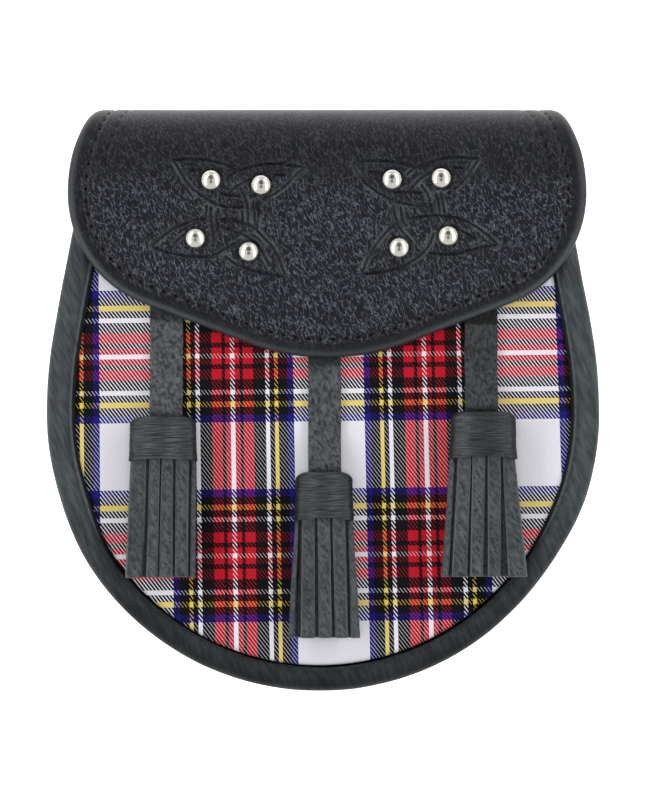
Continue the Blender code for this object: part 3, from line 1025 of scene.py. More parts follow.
RIGHT_KNOT = (
    Stroke("upper left leaf, top", (
        (352.4, 163.4), (365.4, 160.8), (378.7, 160.2), (391.9, 161.3), (404.2, 163.8), (413.4, 166.9),
    )),
    Stroke("upper left leaf, bottom", (
        (352.6, 164), (360.3, 177), (368.5, 185.2), (378.7, 192.9), (390.9, 199), (402, 203), (414.4, 205),
        (425.6, 204.1),
    )),
    Stroke("upper left vein", ((368, 172.3), (380.2, 172.3))),
    Stroke("upper left inner bottom", ((388.9, 191.4), (400, 192.4), (410.3, 191.9), (422.6, 192.4))),
    Stroke("upper right leaf, top", (
        (478, 158.4), (459.3, 157.2), (445, 157.7), (432.8, 161.3), (422.6, 164.8), (415.4, 167.4),
        (407.2, 174),
    )),
    Stroke("upper right band", ((430.7, 172), (422.6, 177), (415.4, 183.2), (410.3, 190.3))),
    Stroke("upper right leaf, bottom", (
        (478.4, 159), (471.5, 169.9), (464.4, 179.6), (456.2, 187.3), (448, 193.4),
    )),
    Stroke("upper right vein", ((452, 167.4), (463.9, 167.4))),
    Stroke("lower left leaf, top", (
        (362, 273), (366.9, 260.2), (374.6, 247), (382.8, 235.8), (388.9, 229.6), (395, 225.6),
    )),
    Stroke("lower left leaf, bottom", (
        (362.4, 274), (378.7, 271.5), (390.9, 269.9), (402, 266.4), (412.3, 260.8), (422.6, 253),
        (429.7, 243.9), (433.8, 233.7),
    )),
    Stroke("lower left vein", ((380.7, 259.2), (384.8, 252))),
    Stroke("lower right leaf, top", (
        (410.3, 218.4), (422.6, 216.4), (434.8, 214.8), (447, 215.9), (459.3, 218.4), (472.6, 224.5),
        (484.8, 232.7), (498, 244.4),
    )),
    Stroke("lower right inner top", ((452, 225.6), (462.3, 230.7), (476.6, 239.8))),
    Stroke("lower right leaf, bottom", (
        (429.7, 252.6), (443, 254), (456.2, 253.6), (467.4, 251), (479.7, 247.5), (496, 244.6),
    )),
    Stroke("left weave, first", ((393, 206.2), (396, 218.4), (401, 229.6), (412.3, 242.4))),
    Stroke("left weave, second", ((400.6, 207.2), (402, 217.4), (406.2, 225.6))),
    Stroke("left weave, third", ((405.7, 208.2), (408.8, 218.4))),
    Stroke("right weave, first", ((421.5, 185.2), (428.2, 194.9), (430.7, 205), (432.2, 211.8))),
    Stroke("right weave, second", ((435.8, 193.9), (438.9, 204), (439.4, 211.8))),
    Stroke("right weave, third", ((440.9, 192.9), (443, 203), (444.5, 212.3))),
)


@dataclass
class Flap:
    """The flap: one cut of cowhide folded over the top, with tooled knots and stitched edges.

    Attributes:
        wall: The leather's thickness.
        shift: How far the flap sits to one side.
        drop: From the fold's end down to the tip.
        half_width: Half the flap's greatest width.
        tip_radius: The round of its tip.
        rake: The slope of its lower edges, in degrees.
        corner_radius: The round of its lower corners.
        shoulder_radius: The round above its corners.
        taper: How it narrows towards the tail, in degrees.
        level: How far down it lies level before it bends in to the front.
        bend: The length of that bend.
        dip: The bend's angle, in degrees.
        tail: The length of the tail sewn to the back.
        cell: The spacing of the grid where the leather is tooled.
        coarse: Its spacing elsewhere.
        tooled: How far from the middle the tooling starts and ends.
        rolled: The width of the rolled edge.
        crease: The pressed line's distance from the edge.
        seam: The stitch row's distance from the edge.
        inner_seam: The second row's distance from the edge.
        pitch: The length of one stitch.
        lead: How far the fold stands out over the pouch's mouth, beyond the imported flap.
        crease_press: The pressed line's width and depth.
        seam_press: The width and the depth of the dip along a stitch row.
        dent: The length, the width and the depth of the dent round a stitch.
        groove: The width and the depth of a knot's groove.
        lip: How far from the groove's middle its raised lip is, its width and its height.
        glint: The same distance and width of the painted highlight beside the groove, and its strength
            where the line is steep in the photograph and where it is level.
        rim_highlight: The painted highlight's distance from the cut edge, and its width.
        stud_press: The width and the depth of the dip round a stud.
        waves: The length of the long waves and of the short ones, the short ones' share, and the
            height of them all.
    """

    wall: float = 2.5 * MM
    shift: float = 1.4 * MM
    drop: float = 68.85 * MM
    half_width: float = 89.1 * MM
    tip_radius: float = 78.0 * MM
    rake: float = 21.0
    corner_radius: float = 40.8 * MM
    shoulder_radius: float = 57.0 * MM
    taper: float = 18.0
    level: float = 36.35 * MM
    bend: float = 8.0 * MM
    dip: float = 3.2
    tail: float = 29.0 * MM
    cell: float = 0.355 * MM
    coarse: float = 0.68 * MM
    tooled: Pair = (11.0 * MM, 62.0 * MM)
    rolled: float = 2.7 * MM
    crease: float = 4.6 * MM
    seam: float = 6.3 * MM
    inner_seam: float = 11.5 * MM
    pitch: float = 4.35 * MM
    lead: float = 1.35 * MM
    crease_press: Pair = (0.5 * MM, 0.08 * MM)
    seam_press: Pair = (0.9 * MM, 0.18 * MM)
    dent: Triple = (1.0 * MM, 0.62 * MM, 0.55 * MM)
    groove: Pair = (0.42 * MM, 0.58 * MM)
    lip: Triple = (0.85 * MM, 0.34 * MM, 0.24 * MM)
    glint: tuple[float, float, float, float] = (0.80 * MM, 0.32 * MM, 0.95, 0.18)
    rim_highlight: Pair = (1.2 * MM, 0.95 * MM)
    stud_press: Pair = (0.9 * MM, 0.45 * MM)
    waves: tuple[float, float, float, float] = (22 * MM, 6 * MM, 0.35, 0.14 * MM)

    def __post_init__(self) -> None:
        """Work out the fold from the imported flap's box."""
        low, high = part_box("flap")
        self.fold_radius = (high[2] - low[2] - self.wall) / 2
        self.fold_z = (high[2] + low[2]) / 2
        self.fold_y = high[1] + self.lead - self.fold_radius - self.wall / 2
        self.fold_length = math.pi * self.fold_radius
        self.tail_down = -self.fold_length - self.tail
        self.rake_angle = math.radians(self.rake)
        self.corner_x = self.half_width - self.corner_radius
        start_x = self.corner_x + self.corner_radius * math.sin(self.rake_angle)
        self.widest = self.edge(start_x) - self.corner_radius * math.cos(self.rake_angle)

    def edge(self, across: float) -> float:
        """Distance down to the lower edge, where it isn't yet the corner's round."""
        reach = abs(across)
        tip_reach = self.tip_radius * math.sin(self.rake_angle)
        if reach < tip_reach:
            return self.drop - self.tip_radius + math.sqrt(self.tip_radius**2 - reach**2)
        tip_rise = self.tip_radius * (1 - math.cos(self.rake_angle))
        return self.drop - tip_rise - math.tan(self.rake_angle) * (reach - tip_reach)

    def outline(self, inset: float, spacing: float = 0.5 * MM) -> Array:
        """The cut outline of the right half, moved inwards.

        Args:
            inset: How far inwards.
            spacing: The distance between points.

        Returns:
            Rows of (across, down) from the tip to the tail's corner.
        """
        points = []
        taper = math.radians(self.taper)
        shoulder_x = self.half_width - self.shoulder_radius
        arcs = (
            (0.0, self.drop - self.tip_radius, self.tip_radius - inset, 0.0, self.rake_angle),
            (self.corner_x, self.widest, self.corner_radius - inset, self.rake_angle, math.pi / 2),
            (shoulder_x, self.widest, self.shoulder_radius - inset, math.pi / 2, math.pi / 2 + taper),
        )
        for middle_x, middle_down, radius, first, last in arcs:
            count = max(4, int(radius * (last - first) / spacing))
            for angle in np.linspace(first, last, count):
                points.append((middle_x + radius * math.sin(angle), middle_down + radius * math.cos(angle)))
        last_x, last_down = points[-1]
        end = self.tail_down + inset
        points.append((last_x - math.tan(taper) * (last_down - end), end))
        return smooth_corners(np.array(points), spacing)

    def whole_outline(self, inset: float, spacing: float = 0.5 * MM) -> Array:
        """The closed outline, moved inwards, as rows of (across, down)."""
        right = self.outline(inset, spacing)
        left = right[::-1] * (-1, 1)
        return np.vstack([right, left])

    def side_width(self, down: Array) -> Array:
        """Half the flap's width at each distance down, above the lower corners."""
        taper = math.radians(self.taper)
        above = np.clip(self.widest - down, 0.0, self.shoulder_radius * math.sin(taper))
        shoulder_x = self.half_width - self.shoulder_radius
        width = shoulder_x + np.sqrt(self.shoulder_radius**2 - above**2)
        beyond = np.maximum(self.widest - self.shoulder_radius * math.sin(taper) - down, 0.0)
        width = width - math.tan(taper) * beyond
        below = np.clip(down - self.widest, 0.0, self.corner_radius)
        corner = self.corner_x + np.sqrt(self.corner_radius**2 - below**2)
        return np.where(down > self.widest, corner, width)

    def low_edge(self, across: Array) -> Array:
        """Distance down to the lower edge, corners included."""
        start_x = self.corner_x + self.corner_radius * math.sin(self.rake_angle)
        reach = np.abs(across)
        straight = np.array([self.edge(value) for value in reach])
        inside = np.clip(reach - self.corner_x, 0.0, self.corner_radius)
        corner = self.widest + np.sqrt(self.corner_radius**2 - inside**2)
        return np.where(reach > start_x, corner, straight)

    def folded(self, cut: Array) -> Array:
        """Fold the cut leather over the pouch.

        Args:
            cut: Rows of (across, down, height above the leather's middle).

        Returns:
            Rows of x, y and z.
        """
        down = cut[:, 1]
        radius = self.fold_radius
        bend_radius = self.bend / math.radians(self.dip)
        angle = np.clip(-down / radius, 0.0, math.pi)
        along_tail = np.maximum(-down - self.fold_length, 0.0)
        along_level = np.clip(down, 0.0, self.level)
        bent = np.clip(down - self.level, 0.0, self.bend) / bend_radius
        beyond = np.maximum(down - self.level - self.bend, 0.0)
        y = self.fold_y + radius * np.sin(angle) - along_tail - along_level
        y = y - bend_radius * np.sin(bent) - beyond * np.cos(bent)
        z = self.fold_z + radius * np.cos(angle)
        z = z - bend_radius * (1 - np.cos(bent)) - beyond * np.sin(bent)
        tilt = bent - angle
        height = cut[:, 2]
        return np.column_stack(
            [cut[:, 0] + self.shift, y - height * np.sin(tilt), z + height * np.cos(tilt)]
        )

    def to_cut(self, places: Array) -> Array:
        """Turn places on the level front, as (x, y), into places on the cut leather."""
        return np.column_stack([places[:, 0] - self.shift, self.fold_y - places[:, 1]])

    def seam_stitches(self, inset: float, start_down: float) -> list[tuple[Array, Array]]:
        """Where the stitches of one row go.

        Args:
            inset: The row's distance from the edge.
            start_down: The row runs from here to the tail, on the right half.

        Returns:
            The (middle, direction) of each stitch on the cut leather, both halves.
        """
        line = self.outline(inset, 0.1 * MM)
        line = line[line[:, 1] <= start_down]
        steps = np.linalg.norm(np.diff(line, axis=0), axis=1)
        along = np.concatenate([[0.0], np.cumsum(steps)])
        count = int(along[-1] / self.pitch)
        found = []
        for i in range(count):
            at = (i + 0.5) * self.pitch
            middle = np.array([np.interp(at, along, line[:, k]) for k in (0, 1)])
            ahead = np.array([np.interp(at + 0.2 * MM, along, line[:, k]) for k in (0, 1)])
            way = (ahead - middle) / np.linalg.norm(ahead - middle)
            for sign in (1, -1):
                found.append((middle * (sign, 1), way * (sign, 1)))
        return found

    def all_stitches(self) -> list[tuple[Array, Array]]:
        """The stitches of both rows and of the row across the tail."""
        rows = self.seam_stitches(self.seam, self.drop)
        rows += self.seam_stitches(self.inner_seam, 3.0 * MM)
        half = self.outline(self.seam)[-1][0]
        count = int(2 * half / self.pitch)
        for i in range(count):
            across = (i + 0.5 - count / 2) * self.pitch
            rows.append((np.array([across, self.tail_down + self.seam]), np.array([1.0, 0.0])))
        return rows

    def tool_knots(self, spots: Array) -> tuple[Array, Array, Array]:
        """Press both knots into the leather.

        Args:
            spots: Rows of (across, down) on the cut leather.

        Returns:
            How far each spot is in a groove, on its raised lip and in the painted highlight beside it.
        """
        groove, lip, lit = np.zeros((3, len(spots)))
        front_z = self.fold_z + self.fold_radius + self.wall / 2
        for stroke in LEFT_KNOT + RIGHT_KNOT:
            line = self.to_cut(smooth_line(from_photo(stroke.pixels, front_z), 0.6 * MM))
            low, high = line.min(axis=0) - 4 * MM, line.max(axis=0) + 4 * MM
            near = np.flatnonzero(((spots > low) & (spots < high)).all(axis=1))
            gap = distance_to(spots[near], line)
            groove[near] = np.maximum(groove[near], bell(gap, 0.0, self.groove[0]))
            lip[near] = np.maximum(lip[near], bell(gap, self.lip[0], self.lip[1]))
            steps = np.diff(line, axis=0)
            steep = np.abs(steps[:, 1]) > 0.5 * np.linalg.norm(steps, axis=1)
            for run in np.split(np.arange(len(steep)), np.flatnonzero(np.diff(steep)) + 1):
                gap = distance_to(spots[near], line[run[0] : run[-1] + 2])
                strength = self.glint[2] if steep[run[0]] else self.glint[3]
                lit[near] = np.maximum(lit[near], bell(gap, self.glint[0], self.glint[1]) * strength)
        return groove, lip, lit

    def relief(self, cut: Array) -> tuple[Array, Array, Array, Array]:
        """Work out the leather's surface.

        Args:
            cut: Rows of (across, down) on the cut leather.

        Returns:
            The height above the leather's middle, how polished it is, how much painted shade lies where it
            is pressed, and how strong the painted highlight is along its rim and beside the knots' grooves.
        """
        edge = distance_to(cut, self.whole_outline(0.0))
        roll = np.clip(1 - edge / self.rolled, 0.0, 1.0)
        height = self.wall / 2 * (np.sqrt(np.maximum(1 - roll**2, 0.0)) * 1.6 - 0.6)
        field = (cut[:, 1] > -self.fold_length / 2) & (edge > self.rolled)
        crease = bell(edge, self.crease, self.crease_press[0])
        seam = bell(edge, self.seam, self.seam_press[0])
        height = height - self.crease_press[1] * crease - self.seam_press[1] * seam
        # Painted shade: the pressed line, the stitch rows, the stitch dents, the knots' grooves and the ring
        # round each stud are darkened through the groove mark.
        pressed = np.maximum(0.3 * crease, 0.2 * seam)
        dent_long, dent_wide, dent_deep = self.dent
        for middle, way in self.all_stitches():
            near = np.flatnonzero(((cut - middle) ** 2).sum(axis=1) < (3 * dent_long) ** 2)
            offset = cut[near] - middle
            along = offset @ way / dent_long
            aside = offset @ np.array([-way[1], way[0]]) / dent_wide
            dent = np.exp(-(along**2 + aside**2))
            height[near] -= dent_deep * dent
            pressed[near] = np.maximum(pressed[near], np.minimum(1.6 * dent, 1.0))
        index = np.flatnonzero(field & (cut[:, 1] < 0.8 * self.drop))
        spots = cut[index]
        groove, lip, lit = self.tool_knots(spots)
        height[index] += self.lip[2] * lip * (1 - groove) - self.groove[1] * groove
        pressed[index] = np.maximum(pressed[index], 0.22 * groove)
        corner = bell(np.abs(cut[:, 0]), 62 * MM, 28 * MM)
        corner = corner * ease((cut[:, 1] - 0.3 * self.drop) / (0.2 * self.drop))
        # Painted highlight along the rolled rim, stronger at the lower corners, and beside the knots' steep
        # grooves, where the side lights would catch them.
        painted_highlight = bell(edge, self.rim_highlight[0], self.rim_highlight[1]) * (0.27 + 0.20 * corner)
        breaks = np.array([uneven(x, down, 3.0, 5 * MM) for x, down in spots])
        painted_highlight[index] += 0.66 * lit * (1 - groove) * ease(0.50 + 1.2 * breaks)
        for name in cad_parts:
            if not name.startswith("stud_"):
                continue
            low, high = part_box(name)
            middle = self.to_cut(np.array([[(low[0] + high[0]) / 2, (low[1] + high[1]) / 2]]))[0]
            gap = np.linalg.norm(cut - middle, axis=1) - (high[0] - low[0]) / 2
            # The leather dips round each stud, with painted shadow in the ring.
            ring = bell(gap, 0.0, self.stud_press[0])
            height = height - self.stud_press[1] * ring
            pressed = np.maximum(pressed, 0.9 * ring)
        polish = np.clip((self.crease + 1.0 * MM - edge) / (1.5 * MM), 0.0, 1.0)
        polish = np.maximum(polish, 0.8 * ease((14 * MM - cut[:, 1]) / (10 * MM)))
        polish[index] = np.maximum(polish[index], np.maximum(groove, 0.6 * lip))
        long, short, share, rise = self.waves
        waves = np.array([uneven(x, down, 0.0, long) for x, down in cut])
        waves = waves + share * np.array([uneven(x, down, 1.0, short) for x, down in cut])
        height = height + rise * waves * np.clip((edge - self.rolled) / (4 * MM), 0.0, 1.0)
        return height, polish, pressed, painted_highlight

    def build_leather(self) -> None:
        """Make the flap's leather as one closed piece."""
        corner_angle = math.radians(55.0)
        corner_width = self.corner_x + self.corner_radius * math.sin(corner_angle)
        corner_down = self.widest + self.corner_radius * math.cos(corner_angle)
        edge_steps = np.array([0.0, 0.12, 0.35, 0.7, 1.1, 1.6]) * MM
        last = self.rolled
        first, outer = self.tooled
        rim = corner_width - 8.5 * MM
        half = graded(
            [(0.0, self.coarse), (first, self.cell), (outer, self.coarse), (rim, 0.40 * MM)],
            corner_width - last,
        )
        half = np.concatenate([half, corner_width - edge_steps[::-1]])
        columns = np.concatenate([-half[:0:-1], half]) / corner_width
        shrink = corner_down / self.drop
        sides = graded(
            [
                (self.tail_down + last, 2.0 * MM),
                (-self.fold_length, 1.2 * MM),
                (-1.5 * MM, self.cell * shrink),
                (43.0 * MM * shrink, 1.35 * self.cell * shrink),
            ],
            corner_down - last * shrink,
        )
        sides = np.concatenate(
            [self.tail_down + edge_steps, sides, corner_down - edge_steps[::-1] * shrink]
        )
        bm = bmesh.new()
        grid(bm, len(sides), len(columns))
        spots = np.array([vert.co for vert in bm.verts])
        column = np.rint(spots[:, 0]).astype(int)
        side = sides[np.rint(spots[:, 1]).astype(int)]
        share = np.clip(side / corner_down, 0.0, 1.0)
        across = columns[column]
        cut = np.column_stack(
            [
                self.side_width(side) * across,
                side + share * (self.low_edge(across * corner_width) - corner_down),
            ]
        )
        height, *marks = self.relief(cut)
        # The groove mark carries painted shade, and the cut mark the painted highlight.
        layers = [bm.verts.layers.float.new(name) for name in ("polish", "groove", "cut")]
        for vert, spot, rise, *values in zip(bm.verts, cut, height, *marks):
            vert.co = (spot[0], spot[1], rise)
            for layer, value in zip(layers, values):
                vert[layer] = value
        self.add_underside(bm)
        for vert, place in zip(bm.verts, self.folded(np.array([vert.co for vert in bm.verts]))):
            vert.co = place
        bmesh.ops.recalc_face_normals(bm, faces=bm.faces)
        mesh = finish_mesh(bm, "flap_leather")
        new_piece("flap_leather", mesh, FLAP_LEATHER, ["flap"])

    def add_underside(self, bm: BMesh) -> None:
        """Close the cut leather below with a flat underside, creased wherever it folds.

        Args:
            bm: The leather's upper side, still flat.
        """
        rim = [edge for edge in bm.edges if edge.is_boundary]
        made = bmesh.ops.extrude_edge_only(bm, edges=rim)["geom"]
        for item in made:
            if isinstance(item, bmesh.types.BMVert):
                item.co.z = -self.wall / 2
        low_rim = [item for item in made if isinstance(item, bmesh.types.BMEdge) and item.is_boundary]
        under = bmesh.ops.contextual_create(bm, geom=low_rim)["faces"]
        creases = graded(
            [(-self.fold_length, 1.5 * MM), (0.0, self.level), (self.level, 2.0 * MM)],
            self.level + self.bend,
        )
        for down in creases:
            geometry = set(under)
            for face in under:
                geometry.update(face.verts)
                geometry.update(face.edges)
            bmesh.ops.bisect_plane(
                bm,
                geom=list(geometry),
                dist=1e-6,
                plane_co=(0.0, down, 0.0),
                plane_no=(0.0, 1.0, 0.0),
            )
            under = [face for face in bm.faces if len(face.verts) > 4 and flat_at(face, -self.wall / 2)]
            under += [face for face in bm.faces if len(face.verts) <= 4 and flat_at(face, -self.wall / 2)]

    def build_stitches(self) -> None:
        """Make the thread of every stitch on the flap."""
        bm = bmesh.new()
        verts = []
        cut = []
        for middle, way in self.all_stitches():
            made = bmesh.ops.create_uvsphere(bm, u_segments=8, v_segments=6, radius=1.0)["verts"]
            verts.extend(made)
            across = np.array([-way[1], way[0]])
            way, across = way + 0.3 * across, across - 0.3 * way
            for vert in made:
                along = vert.co.x * 0.76 * MM
                aside = vert.co.y * 0.44 * MM
                rise = self.wall / 2 - 0.52 * MM + vert.co.z * 0.26 * MM - 0.2 * MM * vert.co.x**2
                spot = middle + way * along + across * aside
                cut.append((spot[0], spot[1], rise))
        for vert, place in zip(verts, self.folded(np.array(cut))):
            vert.co = place
        bmesh.ops.recalc_face_normals(bm, faces=bm.faces)
        mesh = finish_mesh(bm, "flap_stitches")
        new_piece("flap_stitches", mesh, Thread())

    def build(self) -> None:
        """Make the leather and its stitches."""
        self.build_leather()
        self.build_stitches()


def flat_at(face: bmesh.types.BMFace, height: float) -> bool:
    """Say whether all of a face lies at one height."""
    return all(abs(vert.co.z - height) < 1e-7 for vert in face.verts)


@dataclass
class Pouch:
    """The pouch's body: its tartan front, its leather borders, its gusset and its back.

    Attributes:
        shoulder_radius: The round above the pouch's widest place.
        side_lean: How its sides lean in, in degrees.
        piping: The radius of the rolled borders.
        welt: Half the width of the flat welt inside the front border.
        gusset_wall: The thickness of the side wall.
        gusset_hollow: How far the side wall is drawn in.
        cloth_inset: The tartan's distance from the outline.
    """

    shoulder_radius: float = 160.0 * MM
    side_lean: float = 8.5
    piping: float = 4.4 * MM
    welt: float = 1.35 * MM
    gusset_wall: float = 2.0 * MM
    gusset_hollow: float = 1.5 * MM
    cloth_inset: float = 8.6 * MM

    def __post_init__(self) -> None:
        """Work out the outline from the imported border's box."""
        low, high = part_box("front_piping")
        self.half_width = high[0]
        self.bowl_y = low[1] + self.half_width
        self.mouth_y = high[1]
        self.front_z = high[2] - self.piping
        back_low, back_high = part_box("back_piping")
        self.back_z = back_high[2] - self.piping
        self.floor_z = back_low[2]

    def outline(self, inset: float, count: int = 120) -> Array:
        """The pouch's outline, moved inwards.

        Args:
            inset: How far inwards.
            count: How many points each half takes.

        Returns:
            Rows of (x, y) from the mouth's left end round to its right end.
        """
        bowl = self.half_width - inset
        shoulder = self.shoulder_radius - inset
        lean = math.radians(self.side_lean)
        shoulder_x = self.half_width - self.shoulder_radius
        end_x = shoulder_x + shoulder * math.cos(lean)
        end_y = self.bowl_y + shoulder * math.sin(lean)
        rise = self.mouth_y - end_y
        lengths = np.array([self.half_width * math.pi / 2, self.shoulder_radius * lean, 0.06])
        counts = np.maximum(3, np.rint(count * lengths / lengths.sum())).astype(int)
        right = [
            (bowl * math.sin(a), self.bowl_y - bowl * math.cos(a))
            for a in np.linspace(0, math.pi / 2, counts[0], endpoint=False)
        ]
        right += [
            (shoulder_x + shoulder * math.cos(a), self.bowl_y + shoulder * math.sin(a))
            for a in np.linspace(0, lean, counts[1], endpoint=False)
        ]
        right += [
            (end_x - math.tan(lean) * rise * t, end_y + rise * t)
            for t in np.linspace(0, 1, counts[2])
        ]
        right = np.array(right)
        line = np.vstack([right[:0:-1] * (-1, 1), right])
        above = line[:, 1] - 27 * MM
        lean_in = 0.0225 * (above + np.sqrt(above**2 + (8 * MM) ** 2))
        line[:, 0] -= np.sign(line[:, 0]) * np.minimum(lean_in, np.abs(line[:, 0]))
        line[:, 0] -= 1.4 * MM * ease((-30 * MM - line[:, 1]) / (35 * MM))
        line[:, 1] -= 0.6 * MM * ease((-60 * MM - line[:, 1]) / (35 * MM))
        return line

    def track(self, count: int) -> Track:
        """The outline, the way inwards at each of its points, and how far up the sides each is."""
        line = self.outline(0.0, count)
        inwards = self.outline(4 * MM, count) - line
        inwards = inwards / np.linalg.norm(inwards, axis=1)[:, None]
        return line, inwards, ease((line[:, 1] + 78 * MM) / (45 * MM))

    def section(
        self,
        track: Track,
        inset: Array,
        halves: Array,
        z: float,
        half_height: float,
        power: float,
    ) -> Array:
        """Sweep an oval round the outline.

        Args:
            track: The outline's line, its ways inwards and how far up the sides it is.
            inset: The oval's middle, inwards from each point of the line.
            halves: Half its width at each point.
            z: The height of its middle.
            half_height: Half its height.
            power: 1 for an ellipse, and less for a squarer oval.

        Returns:
            Points, as sections x points x 3.
        """
        line, inwards, _ = track
        rows = []
        for angle in np.linspace(0, 2 * math.pi, 36, endpoint=False):
            across = math.copysign(abs(math.cos(angle)) ** power, math.cos(angle))
            up = math.copysign(abs(math.sin(angle)) ** power, math.sin(angle))
            place = line + inwards * (inset + halves * across)[:, None]
            rows.append(np.column_stack([place, np.full(len(place), z + half_height * up)]))
        places = np.stack(rows, axis=1)
        middle = places.mean(axis=1)
        for centre, row in zip(middle, places):
            for spot in row:
                puff = 0.12 * uneven(*spot, 14 * MM) + 0.03 * uneven(*spot, 4 * MM)
                away = spot - centre
                spot += away / np.linalg.norm(away) * puff * MM
        for i, shrink in ((0, 0.55), (1, 0.85), (-2, 0.85), (-1, 0.55)):
            places[i] = middle[i] + (places[i] - middle[i]) * shrink
        return places

    def build_border(self, name: str, middle_z: float, welted: bool) -> None:
        """Make one rolled leather border, with the flat welt inside it where it meets the tartan.

        Args:
            name: The CAD node that it replaces.
            middle_z: The height of the roll's middle.
            welted: Add the welt.
        """
        track = self.track(320)
        sides = track[2]
        halves = np.full(len(sides), self.piping)
        if welted:
            halves = halves - (0.35 + 0.10 * sides) * MM
        bm = bmesh.new()
        roll = self.section(track, halves - 0.2 * MM * (1 - sides), halves, middle_z, self.piping, 1.0)
        roll[..., 2] = np.maximum(roll[..., 2], self.floor_z)
        angles = np.linspace(0, 2 * math.pi, roll.shape[1], endpoint=False)
        # Painted light and shade on the roll: darker towards the bottom, away from the side lights, lighter
        # on its inner side and darker on its outer side.
        tone_and_painted_light = 0.16 - 0.72 * (1 - sides)[:, None] + 0.22 * np.cos(angles)[None]
        none = np.zeros(roll.shape[:2])
        skin(bm, roll, True, True, {"cut": none, "groove": none, "tone_and_painted_light": tone_and_painted_light})
        if welted:
            inset = 2 * halves + 0.65 * MM * sides - 1.9 * MM * (1 - sides)
            width = np.full(len(sides), self.welt)
            welt = self.section(track, inset, width, middle_z + 0.5 * MM, 1.1 * MM, 0.7)
            # Painted shadow: the welt's inner side, next to the tartan, is painted near black through the
            # groove mark.
            gap = np.repeat(ease(np.cos(angles) / 0.2)[None], len(sides), axis=0)
            rough = np.array([[0.5 + 0.5 * uneven(*spot, 1.5 * MM) for spot in row] for row in welt])
            marks = {"cut": np.maximum(rough, 0.0) * (1 - gap), "groove": gap, "tone_and_painted_light": tone_and_painted_light}
            skin(bm, welt, True, True, marks)
        new_piece(f"{name}_roll", finish_mesh(bm, name), BORDER_LEATHER, [name])

    def build_gusset(self) -> None:
        """Make the side wall, softly creased."""
        low = self.back_z + self.piping + 0.3 * MM
        high = self.front_z - self.piping - 0.3 * MM
        rows = []
        for share in np.linspace(-1, 1, 15):
            inset = self.piping + self.gusset_hollow * (1 - share**2)
            line = self.outline(inset, 160)
            z = (low + high) / 2 + share * (high - low) / 2
            rows.append(np.column_stack([line, np.full(len(line), z)]))
        places = np.stack(rows)
        middle = np.array([0.0, self.bowl_y])
        for row, share in zip(places, np.linspace(-1, 1, 15)):
            for spot in row:
                crease = 0.35 * MM * uneven(spot[0], spot[1], spot[2] / 3, 14 * MM) * (1 - share**2)
                out = spot[:2] - middle
                spot[:2] += out / np.linalg.norm(out) * crease
        bm = bmesh.new()
        skin(bm, places)
        piece = new_piece("gusset_leather", finish_mesh(bm, "gusset"), BACK_LEATHER, ["gusset"])
        add_wall(piece, self.gusset_wall, 0.3 * MM)

    def build_tartan(self) -> None:
        """Make the tartan front, drawn down at its edge into the seam."""
        low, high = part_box("front_panel")
        top, bottom = high[2], low[2]
        drops = ((0.0, 1.0), (0.25, 0.55), (0.7, 0.25), (1.4, 0.08), (2.6, 0.0))
        rows = [self.ring(self.cloth_inset, bottom)]
        rows += [self.ring(self.cloth_inset + inset * MM, top - drop * MM) for inset, drop in drops]
        base = self.outline(self.cloth_inset + drops[-1][0] * MM)
        middle = base.mean(axis=0)
        for share in np.linspace(1.0, 0.04, 26)[1:]:
            line = middle + (base - middle) * share
            rows.append(np.column_stack([line, np.full(len(line), top)]))
        places = np.stack(rows)
        for row in places[6:]:
            for spot in row:
                spot[2] += 0.10 * MM * uneven(spot[0], spot[1], 0.0, 30 * MM)
        bm = bmesh.new()
        skin(bm, places, True, True)
        piece = new_piece("tartan_front", finish_mesh(bm, "tartan"), Tartan(), ["front_panel"])
        outline = self.outline(self.cloth_inset)

    def ring(self, inset: float, z: float) -> Array:
        """The outline at one inset and height, as rows of x, y and z."""
        line = self.outline(inset)
        return np.column_stack([line, np.full(len(line), z)])

    def build(self) -> None:
        """Make every piece of the body, and dress the plain back."""
        self.build_border("front_piping", self.front_z, True)
        self.build_border("back_piping", self.back_z, False)
        self.build_gusset()
        self.build_tartan()
        dress_node("back_panel", BACK_LEATHER)


